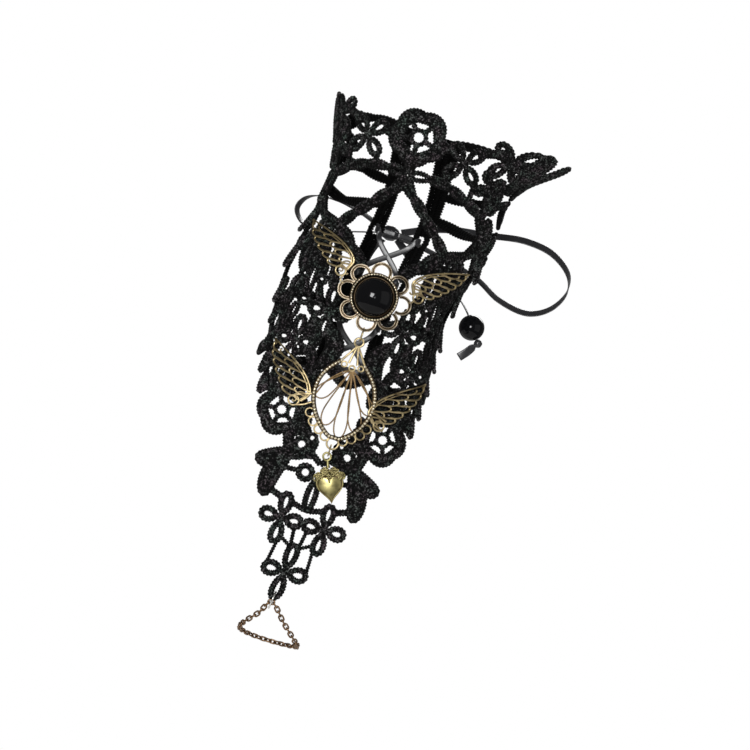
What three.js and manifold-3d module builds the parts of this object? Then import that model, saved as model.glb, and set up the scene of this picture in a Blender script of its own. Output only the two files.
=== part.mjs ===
// Lace wrist cuff with a point over the back of the hand and a chain loop for the middle finger.
// Millimetres. +Z runs up the forearm, the back of the hand faces -Y, and +X is to the right as seen
// from there. The origin is the middle of the wrist, level with the flower setting.
import * as THREE from "three";
import { mergeVertices } from "three/addons/utils/BufferGeometryUtils.js";
import Module from "manifold-3d";

const wasm = await Module();
wasm.setup();

// Driving dimensions of the lace. Straps that run to a laced edge stop at the join, clear of the eyelets.
const LACE_UNDER = 0.3;
const LACE_WALL = 1.6;
const LACE_TOP = LACE_UNDER + LACE_WALL;
const CORD_WIDTH = 2.1;
const EDGE_S = 70;
const EDGE_JOIN = 67.8;
const SPREAD_FROM = 34;
const LACING_GAP = 16;
const EYELET_HOLE = 1.9;

// Driving dimensions of the metal pieces
const METAL_UNDER = LACE_TOP + 0.8;
const WIRE = 0.8;
const PLATE = 1.1;
const BEZEL_RADIUS = 8.6;
const BEZEL_HEIGHT = 3.4;
const RECESS_RADIUS = 7.4;
const STONE_RADIUS = 7.0;
const STONE_DOME = 4.6;
const PETAL_RING = 3.3;
const PETAL_CENTRE = 9.1;
const FLOWER_PETALS = 8;

// Driving dimension of the finger chain: the width that its turning links sweep
const CHAIN_WIDE = 1.9;

// Driving dimensions of the ribbon
const RIBBON_WIDTH = 3.0;
const RIBBON_THICK = 0.5;
const LACING_WIDTH = 2.0;
const BEAD_RADIUS = 4.6;
const BEAD_KNOT_RADIUS = 1.5;

// The shortest edge that any piece keeps, so that no face is a sliver.
const SHORTEST_EDGE = 0.03;

// Wrist and hand, in level sections: half width, depth to the front and to the back, sideways shift
// of the oval, how square it is, and where the middle line of the lace runs.
const SECTIONS = [
  { z: 70, half: 32.5, front: 25.5, back: 25, shift: 3.0, square: 2.0, middle: 0 },
  { z: 56, half: 31.3, front: 24.5, back: 24, shift: 3.0, square: 2.0, middle: 0 },
  { z: 38, half: 29.5, front: 22.5, back: 22, shift: 4.2, square: 2.0, middle: 0.3 },
  { z: 20, half: 28.6, front: 20.8, back: 20.5, shift: 2.4, square: 2.1, middle: 1.2 },
  { z: 0, half: 27.4, front: 19.8, back: 19, shift: -1.0, square: 2.2, middle: 1.4 },
  { z: -20, half: 28.2, front: 19.6, back: 18.5, shift: -1.6, square: 2.3, middle: 0.9 },
  { z: -35, half: 29.8, front: 20, back: 18, shift: -1.6, square: 2.4, middle: 0.5 },
  { z: -60, half: 33.5, front: 20.5, back: 18, shift: 0, square: 2.6, middle: 0.6 },
  { z: -90, half: 37, front: 19.5, back: 18, shift: 0, square: 2.8, middle: 0.5 },
  { z: -120, half: 38, front: 17, back: 16, shift: 0, square: 2.8, middle: -2.4 },
];

// Where the lace stands off the arm: place on the chart, reach across and along it, and height.
const LOOSE = [
  { s: 50, v: 66, across: 14, along: 13, lift: 20 },
  { s: -50, v: 66, across: 13, along: 12, lift: 1 },
  { s: 38, v: 28, across: 9, along: 14, lift: 2.2 },
  { s: -38, v: 4, across: 9, along: 16, lift: 1.6 },
];

// Every daisy of the lace: its centre, the turn of its first petal, and the size of its long pair and
// of its cross pair of petals. Each row is made on both sides where s isn't 0.
const DAISIES = [
  { s: 17.8, v: 53.8, turn: 45, long: 8.9, wide: 5.6, cross: 8.9, crossWide: 5.6 },
  { s: 33.5, v: 58.6, turn: 45, long: 8.9, wide: 5.6, cross: 8.9, crossWide: 5.6 },
  { s: 49, v: 54.5, turn: 45, long: 10.5, wide: 5.0, cross: 8.9, crossWide: 5.0, solid: true },
  { s: 13.3, v: -9.3, turn: 88, long: 9.6, wide: 5.6, cross: 8.0, crossWide: 6.0 },
  { s: 21.8, v: -22.0, turn: 90, long: 9.4, wide: 5.4, cross: 7.8, crossWide: 5.8 },
  { s: 38, v: -10, turn: 80, long: 9.6, wide: 4.8, cross: 8.2, crossWide: 5.2, solid: true },
  { s: 37, v: 12, turn: 96, long: 9.6, wide: 4.8, cross: 8.2, crossWide: 5.2, solid: true },
  { s: 7.7, v: -83.2, turn: 90, long: 9.8, wide: 5.6, cross: 8.2, crossWide: 6.0 },
  { s: 0, v: -101, turn: 90, long: 11.0, wide: 5.6, cross: 8.6, crossWide: 6.2 },
];

// Rosettes: centre, radius, and the windows between the hub ring and the petals.
const ROSETTES = [
  { s: 0, v: 57.8, radius: 10.6, lobes: 5, turn: -90, windowAt: 4.2, windowWide: 2.0, windowLong: 2.9 },
  { s: 18.3, v: -47, radius: 9.6, lobes: 5, turn: 70, windowAt: 3.9, windowWide: 1.9, windowLong: 2.7 },
];

// Small rings of cord: centre, outer radius and hole.
const RINGS = [
  { s: 23.5, v: -6.8, radius: 3.2, hole: 1.1 },
  { s: 26.5, v: 1.2, radius: 2.6, hole: 0 },
  { s: 19.3, v: 0.8, radius: 2.5, hole: 0 },
  { s: 8.2, v: -56.6, radius: 3.3, hole: 1.2 },
  { s: 4.2, v: -65.6, radius: 3.5, hole: 1.2 },
  { s: 29.2, v: -31.5, radius: 3.2, hole: 1.2 },
  { s: 0, v: 44.2, radius: 2.6, hole: 0 },
];

// Solid leaves: the stem end, the tip, the width, and how far the middle bows to the left of the way
// from stem to tip.
const LEAVES = [
  { s: 12.0, v: -13.5, tipS: 10.5, tipV: -29.0, wide: 6.8, bow: -3.8 },
  { s: 11.5, v: -26.5, tipS: 0, tipV: -33.2, wide: 4.6, bow: -1.2 },
  { s: 10.4, v: -60.0, tipS: 22.6, tipV: -66.0, wide: 7.4, bow: -1.0 },
  { s: 11.6, v: -60.5, tipS: 16.4, tipV: -78.0, wide: 7.2, bow: 1.6 },
  { s: 11.8, v: -62.0, tipS: 3.2, tipV: -53.2, wide: 4.2, bow: 1.8 },
  { s: 33.5, v: 22.0, tipS: 40.5, tipV: 33.0, wide: 5.0, bow: 1.0 },
  { s: 33.5, v: 20.0, tipS: 43.5, tipV: 24.5, wide: 4.8, bow: 0 },
  { s: 30.5, v: -25.5, tipS: 39.5, tipV: -30.5, wide: 5.0, bow: 0.6 },
  { s: 47.5, v: 45.0, tipS: 40.5, tipV: 36.0, wide: 4.6, bow: 0.5 },
  { s: 33.0, v: 8.5, tipS: 28.5, tipV: 15.5, wide: 4.4, bow: 0 },
];

// Straps of leaf-shaped lobes in a row: width of a lobe, number of lobes, and the way it runs.
const STRAPS = [
  {
    name: "arch",
    wide: 3.6,
    lobes: 4,
    way: [[0, 44.2], [7.2, 45.0], [14.4, 44.4], [19.8, 42.4], [28.6, 38.2]],
  },
  {
    name: "cross",
    wide: 3.9,
    lobes: 4,
    way: [[0, 43.6], [2.2, 39.2], [6.6, 34.8], [10.5, 30.5], [14.6, 26.4], [19.6, 20.8]],
  },
  {
    name: "inner",
    wide: 3.9,
    lobes: 2,
    way: [[19.6, 20.8], [15.1, 17.9], [12.4, 14.9], [9, 11.8], [6.2, 8.2]],
  },
  {
    name: "side",
    wide: 4.2,
    lobes: 3,
    way: [[28.6, 38.2], [31.4, 33], [30.6, 26.5], [25.5, 22], [19.6, 20.8]],
  },
  { name: "outer rung", wide: 4.4, lobes: 2, way: [[25.0, 21.6], [27.6, 13.5], [26.8, 3.2]] },
  { name: "inner rung", wide: 4.2, lobes: 2, way: [[20.2, 20.0], [21.6, 11.5], [19.6, 2.4]] },
  { name: "near rung", wide: 3.8, lobes: 2, way: [[17.0, 18.6], [16.6, 9.0], [14.6, -1.0]] },
  { name: "side rib", wide: 4.8, lobes: 4, way: [[27.4, -0.6], [30.4, -9.0], [29.2, -21.5]] },
  { name: "panel rib", wide: 3.0, lobes: 2, way: [[12.4, -27.5], [14.0, -33.0], [13.6, -39.5]] },
  { name: "middle rib", wide: 2.8, lobes: 2, way: [[17.8, -28.0], [19.6, -33.0], [19.4, -39.0]] },
  { name: "outer rib", wide: 2.8, lobes: 2, way: [[24.4, -27.5], [25.2, -33.5], [24.0, -40.5]] },
  {
    name: "band low",
    wide: 3.4,
    lobes: 4,
    way: [[28.6, 38.4], [36, 43.5], [46, 44.5], [57, 43], [EDGE_JOIN, 41.5]],
  },
  { name: "band high", wide: 3.2, lobes: 2, way: [[52, 58.5], [60, 61.5], [EDGE_JOIN, 61.5]] },
  { name: "upper tie", wide: 3.4, lobes: 2, way: [[40, 33.5], [54, 30.5], [EDGE_JOIN, 33]] },
  { name: "middle tie", wide: 3.4, lobes: 2, way: [[43.5, 14], [56, 17], [EDGE_JOIN, 13]] },
  { name: "lower tie", wide: 3.4, lobes: 2, way: [[44.5, -9], [57, -5.5], [EDGE_JOIN, -8]] },
  { name: "low border", wide: 3.6, lobes: 2, way: [[37.5, -30], [48, -27], [58, -30.5], [EDGE_JOIN, -27]] },
];

// Thin bars that tie motifs together: both ends and the width.
const BARS = [
  { s: 0.6, v: -83.2, endS: -0.6, endV: -83.2, wide: 2.2 },
  { s: 6.6, v: -92.4, endS: 7.2, endV: -99.5, wide: 1.1 },
  { s: 5.0, v: -90.0, endS: 1.5, endV: -92.0, wide: 1.2 },
  { s: 2.4, v: -84.2, endS: 1.4, endV: -92.6, wide: 1.2 },
  { s: 8.6, v: 56.4, endS: 12.6, endV: 57.6, wide: 2.8 },
  { s: 0, v: 48.5, endS: 0, endV: 45.0, wide: 3.4 },
  { s: 22.3, v: 58.5, endS: 30.6, endV: 61.5, wide: 2.7 },
  { s: 23.6, v: 47.8, endS: 23.0, endV: 41.0, wide: 1.8 },
  { s: 12.2, v: 48.0, endS: 12.2, endV: 45.0, wide: 1.8 },
  { s: 28.8, v: 54.6, endS: 30.4, endV: 37.6, wide: 2.0 },
  { s: 0.2, v: -61.2, endS: 5.6, endV: -57.4, wide: 2.0 },
  { s: 7.0, v: -65.6, endS: 12.4, endV: -66.0, wide: 1.6 },
  { s: 14.4, v: -74.6, endS: 9.2, endV: -76.4, wide: 2.0 },
  { s: 1.2, v: -78.2, endS: 6.2, endV: -76.8, wide: 1.8 },
  { s: 13.6, v: -54.6, endS: 12.0, endV: -60.0, wide: 3.4 },
  { s: 10.6, v: -54.0, endS: 12.6, endV: -51.4, wide: 2.4 },
  { s: 19.5, v: -10.0, endS: 21.6, endV: -8.6, wide: 2.0 },
  { s: 17.2, v: -12.6, endS: 18.2, endV: -19.6, wide: 3.0 },
  { s: 36.4, v: -18.2, endS: 31.5, endV: -25.8, wide: 2.4 },
  { s: 26.5, v: -28.6, endS: 27.8, endV: -29.8, wide: 2.2 },
  { s: 29.2, v: -34.0, endS: 25.6, endV: -41.5, wide: 2.0 },
  { s: 30.2, v: -9.4, endS: 33.0, endV: -10.2, wide: 2.2 },
  { s: 33.2, v: 17.6, endS: 31.8, endV: 24.8, wide: 2.4 },
  { s: 38.2, v: 3.2, endS: 38.6, endV: -1.4, wide: 2.4 },
];

// Loops of cord on their own: both ends along the middle, and the width.
const LOOPS = [
  { s: 0.3, v: -66.6, endS: -0.3, endV: -79.5, wide: 5.2 },
  { s: 20.6, v: -31.2, endS: 22.4, endV: -38.6, wide: 4.6 },
];

const EYELETS = [24, 7, -10, -27];
const EDGE_TOP = 63;
const EDGE_BOTTOM = -30;
const EDGE_WIDTH = 5.4;

// Smooth value of one column of a table with a column z, at height z.
function columnAt(rows, column, z) {
  const last = rows.length - 1;
  let i = 0;
  while (i < last - 1 && z < rows[i + 1].z) i += 1;
  const t = THREE.MathUtils.clamp((z - rows[i].z) / (rows[i + 1].z - rows[i].z), 0, 1);
  const slope = (k) => {
    const a = rows[Math.max(k - 1, 0)];
    const b = rows[Math.min(k + 1, last)];
    return (b[column] - a[column]) / (b.z - a.z);
  };
  const step = rows[i + 1].z - rows[i].z;
  const p = rows[i][column];
  const q = rows[i + 1][column];
  const rise = q - p;
  const bend = t * (1 - t);
  return p + rise * t + bend * ((slope(i) * step - rise) * (1 - t) - (slope(i + 1) * step - rise) * t);
}

const SECTION_STEPS = 180;
const sectionCache = new Map();

// The level section at height z as points with their way along the skin from the front middle.
function sectionAt(z) {
  const key = Math.round(z * 100);
  if (sectionCache.has(key)) return sectionCache.get(key);
  const at = (column) => columnAt(SECTIONS, column, z);
  const [half, front, back] = [at("half"), at("front"), at("back")];
  const [shift, square, axis] = [at("shift"), at("square"), at("middle")];
  const points = [];
  for (let i = 0; i <= SECTION_STEPS; i += 1) {
    const angle = (i / SECTION_STEPS) * 2 * Math.PI - Math.PI;
    const sine = Math.sin(angle);
    const cosine = Math.cos(angle);
    const depth = cosine > 0 ? front : back;
    points.push({
      x: shift + half * Math.sign(sine) * Math.abs(sine) ** (2 / square),
      y: -depth * Math.sign(cosine) * Math.abs(cosine) ** (2 / square),
      way: 0,
    });
  }
  for (let i = 1; i < points.length; i += 1) {
    const step = Math.hypot(points[i].x - points[i - 1].x, points[i].y - points[i - 1].y);
    points[i].way = points[i - 1].way + step;
  }
  const frontHalf = points.slice(SECTION_STEPS / 4, (3 * SECTION_STEPS) / 4 + 1);
  const k = frontHalf.findIndex((p) => p.x >= axis);
  const a = frontHalf[k - 1];
  const b = frontHalf[k];
  const start = a.way + ((axis - a.x) / (b.x - a.x)) * (b.way - a.way);
  for (const p of points) p.way -= start;
  sectionCache.set(key, points);
  return points;
}

// Chart to body: s runs round the wrist from the front middle, v up the arm, h outward from the skin.
function onSkin(s, v, h) {
  const points = sectionAt(v);
  const reach = s > 0 ? points[points.length - 1].way : -points[0].way;
  const past = Math.max(Math.abs(s) - SPREAD_FROM, 0);
  const spread = (reach - LACING_GAP / 2 - SPREAD_FROM) / (EDGE_S - SPREAD_FROM);
  const way = Math.sign(s) * (Math.min(Math.abs(s), SPREAD_FROM) + past * spread);
  let i = 1;
  while (i < points.length - 1 && points[i].way < way) i += 1;
  const a = points[i - 1];
  const b = points[i];
  const t = (way - a.way) / (b.way - a.way);
  const before = points[Math.max(i - 2, 0)];
  const after = points[Math.min(i + 1, points.length - 1)];
  const tangentA = new THREE.Vector2(b.x - before.x, b.y - before.y).normalize();
  const tangentB = new THREE.Vector2(after.x - a.x, after.y - a.y).normalize();
  const tangent = tangentA.lerp(tangentB, t).normalize();
  const x = a.x + t * (b.x - a.x) + tangent.y * h;
  const y = a.y + t * (b.y - a.y) - tangent.x * h;
  return new THREE.Vector3(x, y, v);
}

function liftAt(s, v) {
  let lift = 0;
  for (const row of LOOSE) {
    const across = (s - row.s) / row.across;
    const along = (v - row.v) / row.along;
    lift += row.lift * Math.exp(-across * across - along * along);
  }
  return lift;
}

const onLace = (s, v, h) => onSkin(s, v, h + liftAt(s, v));

// Manifold solid of a closed three.js geometry.
function solidOf(geometry) {
  const bare = geometry.clone();
  bare.deleteAttribute("normal");
  bare.deleteAttribute("uv");
  const merged = mergeVertices(bare, 1e-4);
  return new wasm.Manifold(
    new wasm.Mesh({
      numProp: 3,
      vertProperties: merged.attributes.position.array,
      triVerts: new Uint32Array(merged.index.array),
    }),
  );
}

function geometryOf(solid) {
  const mesh = solid.getMesh();
  const geometry = new THREE.BufferGeometry();
  geometry.setAttribute("position", new THREE.BufferAttribute(new Float32Array(mesh.vertProperties), 3));
  geometry.setIndex(new THREE.BufferAttribute(new Uint32Array(mesh.triVerts), 1));
  return geometry;
}

// The same closed surface with every edge shorter than the least length drawn together to a point.
function withoutShortEdges(geometry, least) {
  const bare = geometry.clone();
  bare.deleteAttribute("normal");
  bare.deleteAttribute("uv");
  const merged = mergeVertices(bare, 1e-4);
  const position = merged.attributes.position;
  const index = merged.index.array;
  const corner = (i) => new THREE.Vector3().fromBufferAttribute(position, i);
  const stands = Array.from({ length: position.count }, (_, i) => i);
  const standFor = (i) => {
    let k = i;
    while (stands[k] !== k) k = stands[k];
    return k;
  };
  for (let i = 0; i < index.length; i += 3) {
    for (let k = 0; k < 3; k += 1) {
      const a = standFor(index[i + k]);
      const b = standFor(index[i + ((k + 1) % 3)]);
      if (a !== b && corner(a).distanceTo(corner(b)) < least) stands[Math.max(a, b)] = Math.min(a, b);
    }
  }
  const faces = new Map();
  for (let i = 0; i < index.length; i += 3) {
    const [a, b, c] = [standFor(index[i]), standFor(index[i + 1]), standFor(index[i + 2])];
    if (a === b || b === c || c === a) continue;
    const key = [a, b, c].sort((p, q) => p - q).join(" ");
    if (faces.has(key)) faces.delete(key);
    else faces.set(key, [a, b, c]);
  }
  merged.setIndex([...faces.values()].flat());
  return merged;
}

const joined = (solids) => solids.reduce((sum, next) => sum.add(next));

// Splits every edge that is too long across or along the chart, so that a flat web can bend.
function splitLong(geometry, mostAcross, mostAlong) {
  let points = Array.from(geometry.attributes.position.array);
  let faces = Array.from(geometry.index.array);
  for (let pass = 0; pass < 6; pass += 1) {
    const middles = new Map();
    const middleOf = (a, b) => {
      const across = Math.abs(points[3 * a] - points[3 * b]);
      const along = Math.abs(points[3 * a + 1] - points[3 * b + 1]);
      if (across <= mostAcross && along <= mostAlong) return -1;
      const key = a < b ? `${a} ${b}` : `${b} ${a}`;
      if (!middles.has(key)) {
        middles.set(key, points.length / 3);
        for (let k = 0; k < 3; k += 1) points.push((points[3 * a + k] + points[3 * b + k]) / 2);
      }
      return middles.get(key);
    };
    const next = [];
    for (let i = 0; i < faces.length; i += 3) {
      let [a, b, c] = [faces[i], faces[i + 1], faces[i + 2]];
      let [ab, bc, ca] = [middleOf(a, b), middleOf(b, c), middleOf(c, a)];
      for (let turn = 0; turn < 2 && !(ab >= 0 && ca < 0) && !(ab >= 0 && bc >= 0 && ca >= 0); turn += 1) {
        [a, b, c] = [b, c, a];
        [ab, bc, ca] = [bc, ca, ab];
      }
      if (ab < 0) next.push(a, b, c);
      else if (bc < 0) next.push(a, ab, c, ab, b, c);
      else if (ca < 0) next.push(a, ab, c, ab, bc, c, ab, b, bc);
      else next.push(a, ab, ca, ab, b, bc, ca, bc, c, ab, bc, ca);
    }
    faces = next;
    if (!middles.size) break;
  }
  const made = new THREE.BufferGeometry();
  made.setAttribute("position", new THREE.BufferAttribute(new Float32Array(points), 3));
  made.setIndex(faces);
  return made;
}

// Moves every vertex of a chart geometry (x = s, y = v, z = h) to its place on the body.
function bend(geometry, place) {
  const position = geometry.attributes.position;
  for (let i = 0; i < position.count; i += 1) {
    const p = place(position.getX(i), position.getY(i), position.getZ(i));
    position.setXYZ(i, p.x, p.y, p.z);
  }
  return geometry;
}

const point = (x, y) => new THREE.Vector2(x, y);

// Outline of a petal as shares of its length and width, from one side round its tip to the other.
const PETAL_OUTLINE = [
  [0.4, -0.42],
  [0.82, -0.46],
  [1.0, 0],
  [0.82, 0.46],
  [0.4, 0.42],
];
const PETAL_WINDOW_AT = 0.6;
const PETAL_NOTCH = 1.9 * Math.SQRT1_2;
const radians = THREE.MathUtils.degToRad;

function slab(outline, holes, under, thick) {
  const shape = new THREE.Shape(outline);
  for (const hole of holes) shape.holes.push(new THREE.Path(hole));
  const geometry = new THREE.ExtrudeGeometry(shape, { depth: thick, bevelEnabled: false });
  return solidOf(geometry.translate(0, 0, under));
}

const laceSlab = (outline, holes = []) => slab(outline, holes, 0, LACE_WALL);

// Points of an oval round (x, y), long along the direction turn.
function oval(x, y, long, wide, turn, count) {
  const points = [];
  for (let i = 0; i < count; i += 1) {
    const angle = (2 * Math.PI * (i + 0.5)) / count;
    const along = (Math.cos(angle) * long) / 2;
    const across = (Math.sin(angle) * wide) / 2;
    const c = Math.cos(turn);
    const s = Math.sin(turn);
    points.push(point(x + along * c - across * s, y + along * s + across * c));
  }
  return points;
}

// A four-petalled daisy in one outline, with an oval window in each looped petal.
function daisy(row, side) {
  const outline = [];
  const holes = [];
  for (let i = 0; i < 4; i += 1) {
    const turn = radians(row.turn + 90 * i);
    const long = i % 2 ? row.cross : row.long;
    const wide = i % 2 ? row.crossWide : row.wide;
    const put = (along, across) => {
      const x = row.s + along * Math.cos(turn) - across * Math.sin(turn);
      return point(side * x, row.v + along * Math.sin(turn) + across * Math.cos(turn));
    };
    for (const [along, across] of PETAL_OUTLINE) outline.push(put(along * long, across * wide));
    outline.push(put(PETAL_NOTCH, PETAL_NOTCH));
    const middle = put(long * PETAL_WINDOW_AT, 0);
    const window = [long * 0.93 - 2 * CORD_WIDTH, wide - 2 * CORD_WIDTH + 0.5];
    holes.push(oval(middle.x, middle.y, window[0], window[1], side > 0 ? turn : Math.PI - turn, 6));
  }
  if (side < 0) outline.reverse();
  return [laceSlab(outline, row.solid ? [] : holes)];
}

const LOBE_DEPTH = 0.14;
const HUB_HOLE = 1.7;

// A lobed disc with a hub hole and one window in each lobe.
function rosette(row, side) {
  const outline = [];
  const steps = row.lobes * 4;
  for (let i = 0; i < steps; i += 1) {
    const angle = (2 * Math.PI * i) / steps + radians(row.turn);
    const lobed = Math.abs(Math.cos((row.lobes * (angle - radians(row.turn))) / 2));
    const radius = row.radius * (1 - LOBE_DEPTH + LOBE_DEPTH * lobed);
    outline.push(point(side * (row.s + radius * Math.cos(angle)), row.v + radius * Math.sin(angle)));
  }
  if (side < 0) outline.reverse();
  const holes = [oval(side * row.s, row.v, 2 * HUB_HOLE, 2 * HUB_HOLE, 0, 6)];
  for (let i = 0; i < row.lobes; i += 1) {
    const angle = radians(row.turn) + (2 * Math.PI * (i + 0.5)) / row.lobes;
    const x = side * (row.s + row.windowAt * Math.cos(angle));
    const turn = side > 0 ? angle : Math.PI - angle;
    const y = row.v + row.windowAt * Math.sin(angle);
    holes.push(oval(x, y, row.windowWide, row.windowLong, turn, 5));
  }
  return [laceSlab(outline, holes)];
}

function ring(row, side) {
  const hole = oval(side * row.s, row.v, 2 * row.hole, 2 * row.hole, 0, 5);
  return [laceSlab(oval(side * row.s, row.v, 2 * row.radius, 2 * row.radius, 0, 8), row.hole ? [hole] : [])];
}

// A leaf's half width is a power of a sine between these shares of its half turn.
const LEAF_STEM = 0.1;
const LEAF_RUN = 0.8;
const LEAF_FULLNESS = 0.6;

// A bowed leaf, narrow at both ends.
function leaf(row, side) {
  const stem = point(side * row.s, row.v);
  const tip = point(side * row.tipS, row.tipV);
  const way = tip.clone().sub(stem);
  const across = point(-way.y, way.x).normalize();
  const steps = 4;
  const near = [];
  const far = [];
  for (let i = 0; i <= steps; i += 1) {
    const t = i / steps;
    const bow = side * row.bow * Math.sin(Math.PI * t);
    const half = (row.wide / 2) * Math.sin(Math.PI * (LEAF_STEM + LEAF_RUN * t)) ** LEAF_FULLNESS;
    const middle = stem.clone().addScaledVector(way, t).addScaledVector(across, bow);
    near.push(middle.clone().addScaledVector(across, half));
    far.unshift(middle.clone().addScaledVector(across, -half));
  }
  return [laceSlab([...far, ...near].reverse())];
}

// A strap's width between two lobes, as a share of its full width
const STRAP_WAIST = 0.72;

// A band whose edges swell in lobes along its way.
function strap(row, side) {
  const curve = new THREE.SplineCurve(row.way.map(([s, v]) => point(side * s, v)));
  const steps = row.lobes * 2;
  const near = [];
  const far = [];
  for (let i = 0; i <= steps; i += 1) {
    const t = i / steps;
    const middle = curve.getPointAt(t);
    const tangent = curve.getTangentAt(t);
    const half = (row.wide / 2) * (i % 2 ? 1 : STRAP_WAIST);
    near.push(point(middle.x - tangent.y * half, middle.y + tangent.x * half));
    far.unshift(point(middle.x + tangent.y * half, middle.y - tangent.x * half));
  }
  return [laceSlab([...far, ...near].reverse())];
}

function barSlab(x, y, endX, endY, wide, under, thick) {
  const start = point(x, y);
  const end = point(endX, endY);
  const across = end.clone().sub(start).normalize().rotateAround(point(0, 0), Math.PI / 2);
  across.multiplyScalar(wide / 2);
  return slab(
    [start.clone().sub(across), end.clone().sub(across), end.clone().add(across), start.clone().add(across)],
    [],
    under,
    thick,
  );
}

const bar = (row, side) => [
  barSlab(side * row.s, row.v, side * row.endS, row.endV, row.wide, 0, LACE_WALL),
];

function loop(row, side) {
  const start = point(side * row.s, row.v);
  const end = point(side * row.endS, row.endV);
  const way = end.clone().sub(start);
  const middle = start.clone().addScaledVector(way, 0.5);
  const long = way.length();
  const turn = way.angle();
  const hole = oval(middle.x, middle.y, long - 2 * CORD_WIDTH, row.wide - 2 * CORD_WIDTH + 0.6, turn, 6);
  return [laceSlab(oval(middle.x, middle.y, long, row.wide, turn, 10), [hole])];
}

// The straight edge that is laced, with its eyelets.
function lacedEdge(side) {
  const inner = EDGE_S - EDGE_WIDTH / 2;
  const outer = EDGE_S + EDGE_WIDTH / 2;
  const outline = [
    point(side * inner, EDGE_BOTTOM),
    point(side * outer, EDGE_BOTTOM),
    point(side * outer, EDGE_TOP),
    point(side * inner, EDGE_TOP),
  ];
  if (side < 0) outline.reverse();
  return laceSlab(
    outline,
    EYELETS.map((v) => oval(side * EDGE_S, v, 2 * EYELET_HOLE, 2 * EYELET_HOLE, 0, 6)),
  );
}

function laceGeometry() {
  const solids = [];
  const kinds = [
    [DAISIES, daisy],
    [ROSETTES, rosette],
    [RINGS, ring],
    [LEAVES, leaf],
    [STRAPS, strap],
    [BARS, bar],
    [LOOPS, loop],
  ];
  for (const [rows, make] of kinds) {
    for (const row of rows) {
      solids.push(...make(row, 1));
      if (row.s !== 0) solids.push(...make(row, -1));
    }
  }
  solids.push(lacedEdge(1), lacedEdge(-1));
  const flat = splitLong(withoutShortEdges(geometryOf(joined(solids)), 0.12), 12, 30);
  return bend(flat, (s, v, h) => onLace(s, v, h + LACE_UNDER));
}

// Winged flower setting: a scalloped plate of eight wire petals, a bezel cup and a wing on each side.
const WING = {
  lead: [[-1.0, 2.2], [0.6, 6.0], [6, 6.8], [13.9, 4.6], [23.2, 0]],
  trail: [[0.6, -2.0], [5.9, -2.2], [12.3, -2.4], [18.4, -2.0], [23.2, 0]],
  feathers: 6,
  scallop: 1.14,
  rows: [[0.16, 0.47], [0.58, 0.86]],
  ring: 2.1,
  ringHole: 1.0,
};
const UPPER_WINGS = [
  { side: 1, s: 13.9, v: 4.2, turn: 39.5, scale: 0.9 },
  { side: -1, s: 13.2, v: 5.6, turn: 42, scale: 0.93 },
];
const LOWER_WINGS = [
  { side: 1, s: 14.9, v: -42.6, turn: 56, scale: 0.98 },
  { side: -1, s: 14.9, v: -42.6, turn: 56, scale: 0.98 },
];

// A pierced wing: base ring at the origin of its own sketch, tip along +X, leading edge up. It is
// scaled, turned and put on the right side, or mirrored to the left.
function wing(place) {
  const { side } = place;
  const lead = new THREE.SplineCurve(WING.lead.map(([x, y]) => point(x, y)));
  const trail = new THREE.SplineCurve(WING.trail.map(([x, y]) => point(x, y)));
  const put = (p) => {
    const swung = p.clone().multiplyScalar(place.scale).rotateAround(point(0, 0), radians(place.turn));
    return point(side * (place.s + swung.x), place.v + swung.y);
  };
  const across = (u, w) => lead.getPoint(u).lerp(trail.getPoint(u), w);
  const cell = (u, endU, w, endW) => {
    const corners = [across(u, w), across(endU, w), across(endU, endW), across(u, endW)];
    return side > 0 ? corners.map(put) : corners.map(put).reverse();
  };
  const outline = [];
  for (let i = 0; i <= 6; i += 1) outline.push(lead.getPoint(i / 6));
  for (let i = WING.feathers * 2 - 1; i >= 0; i -= 1) {
    const u = i / (WING.feathers * 2);
    outline.push(across(u, i % 2 ? WING.scallop : 1));
  }
  const placed = outline.map(put);
  if (side > 0) placed.reverse();
  const windows = [];
  for (let i = 0; i < WING.feathers; i += 1) {
    const [u, endU] = [i + 0.3, i + 0.95].map((step) => step / (WING.feathers + 1.3));
    for (const [w, endW] of WING.rows) windows.push(cell(u, endU, w, endW));
  }
  const centre = put(point(0, 0));
  const base = slab(
    oval(centre.x, centre.y, 2 * WING.ring, 2 * WING.ring, 0, 8),
    [oval(centre.x, centre.y, 2 * WING.ringHole, 2 * WING.ringHole, 0, 5)],
    METAL_UNDER,
    PLATE,
  );
  return slab(placed, windows, METAL_UNDER, PLATE).add(base);
}

const NOTCH_RADIUS = BEZEL_RADIUS + 0.35;
const PETAL_POINTS = 6;
const PETAL_SPREAD = 84;
const WINDOW_CORNER = radians(41.3);

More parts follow.
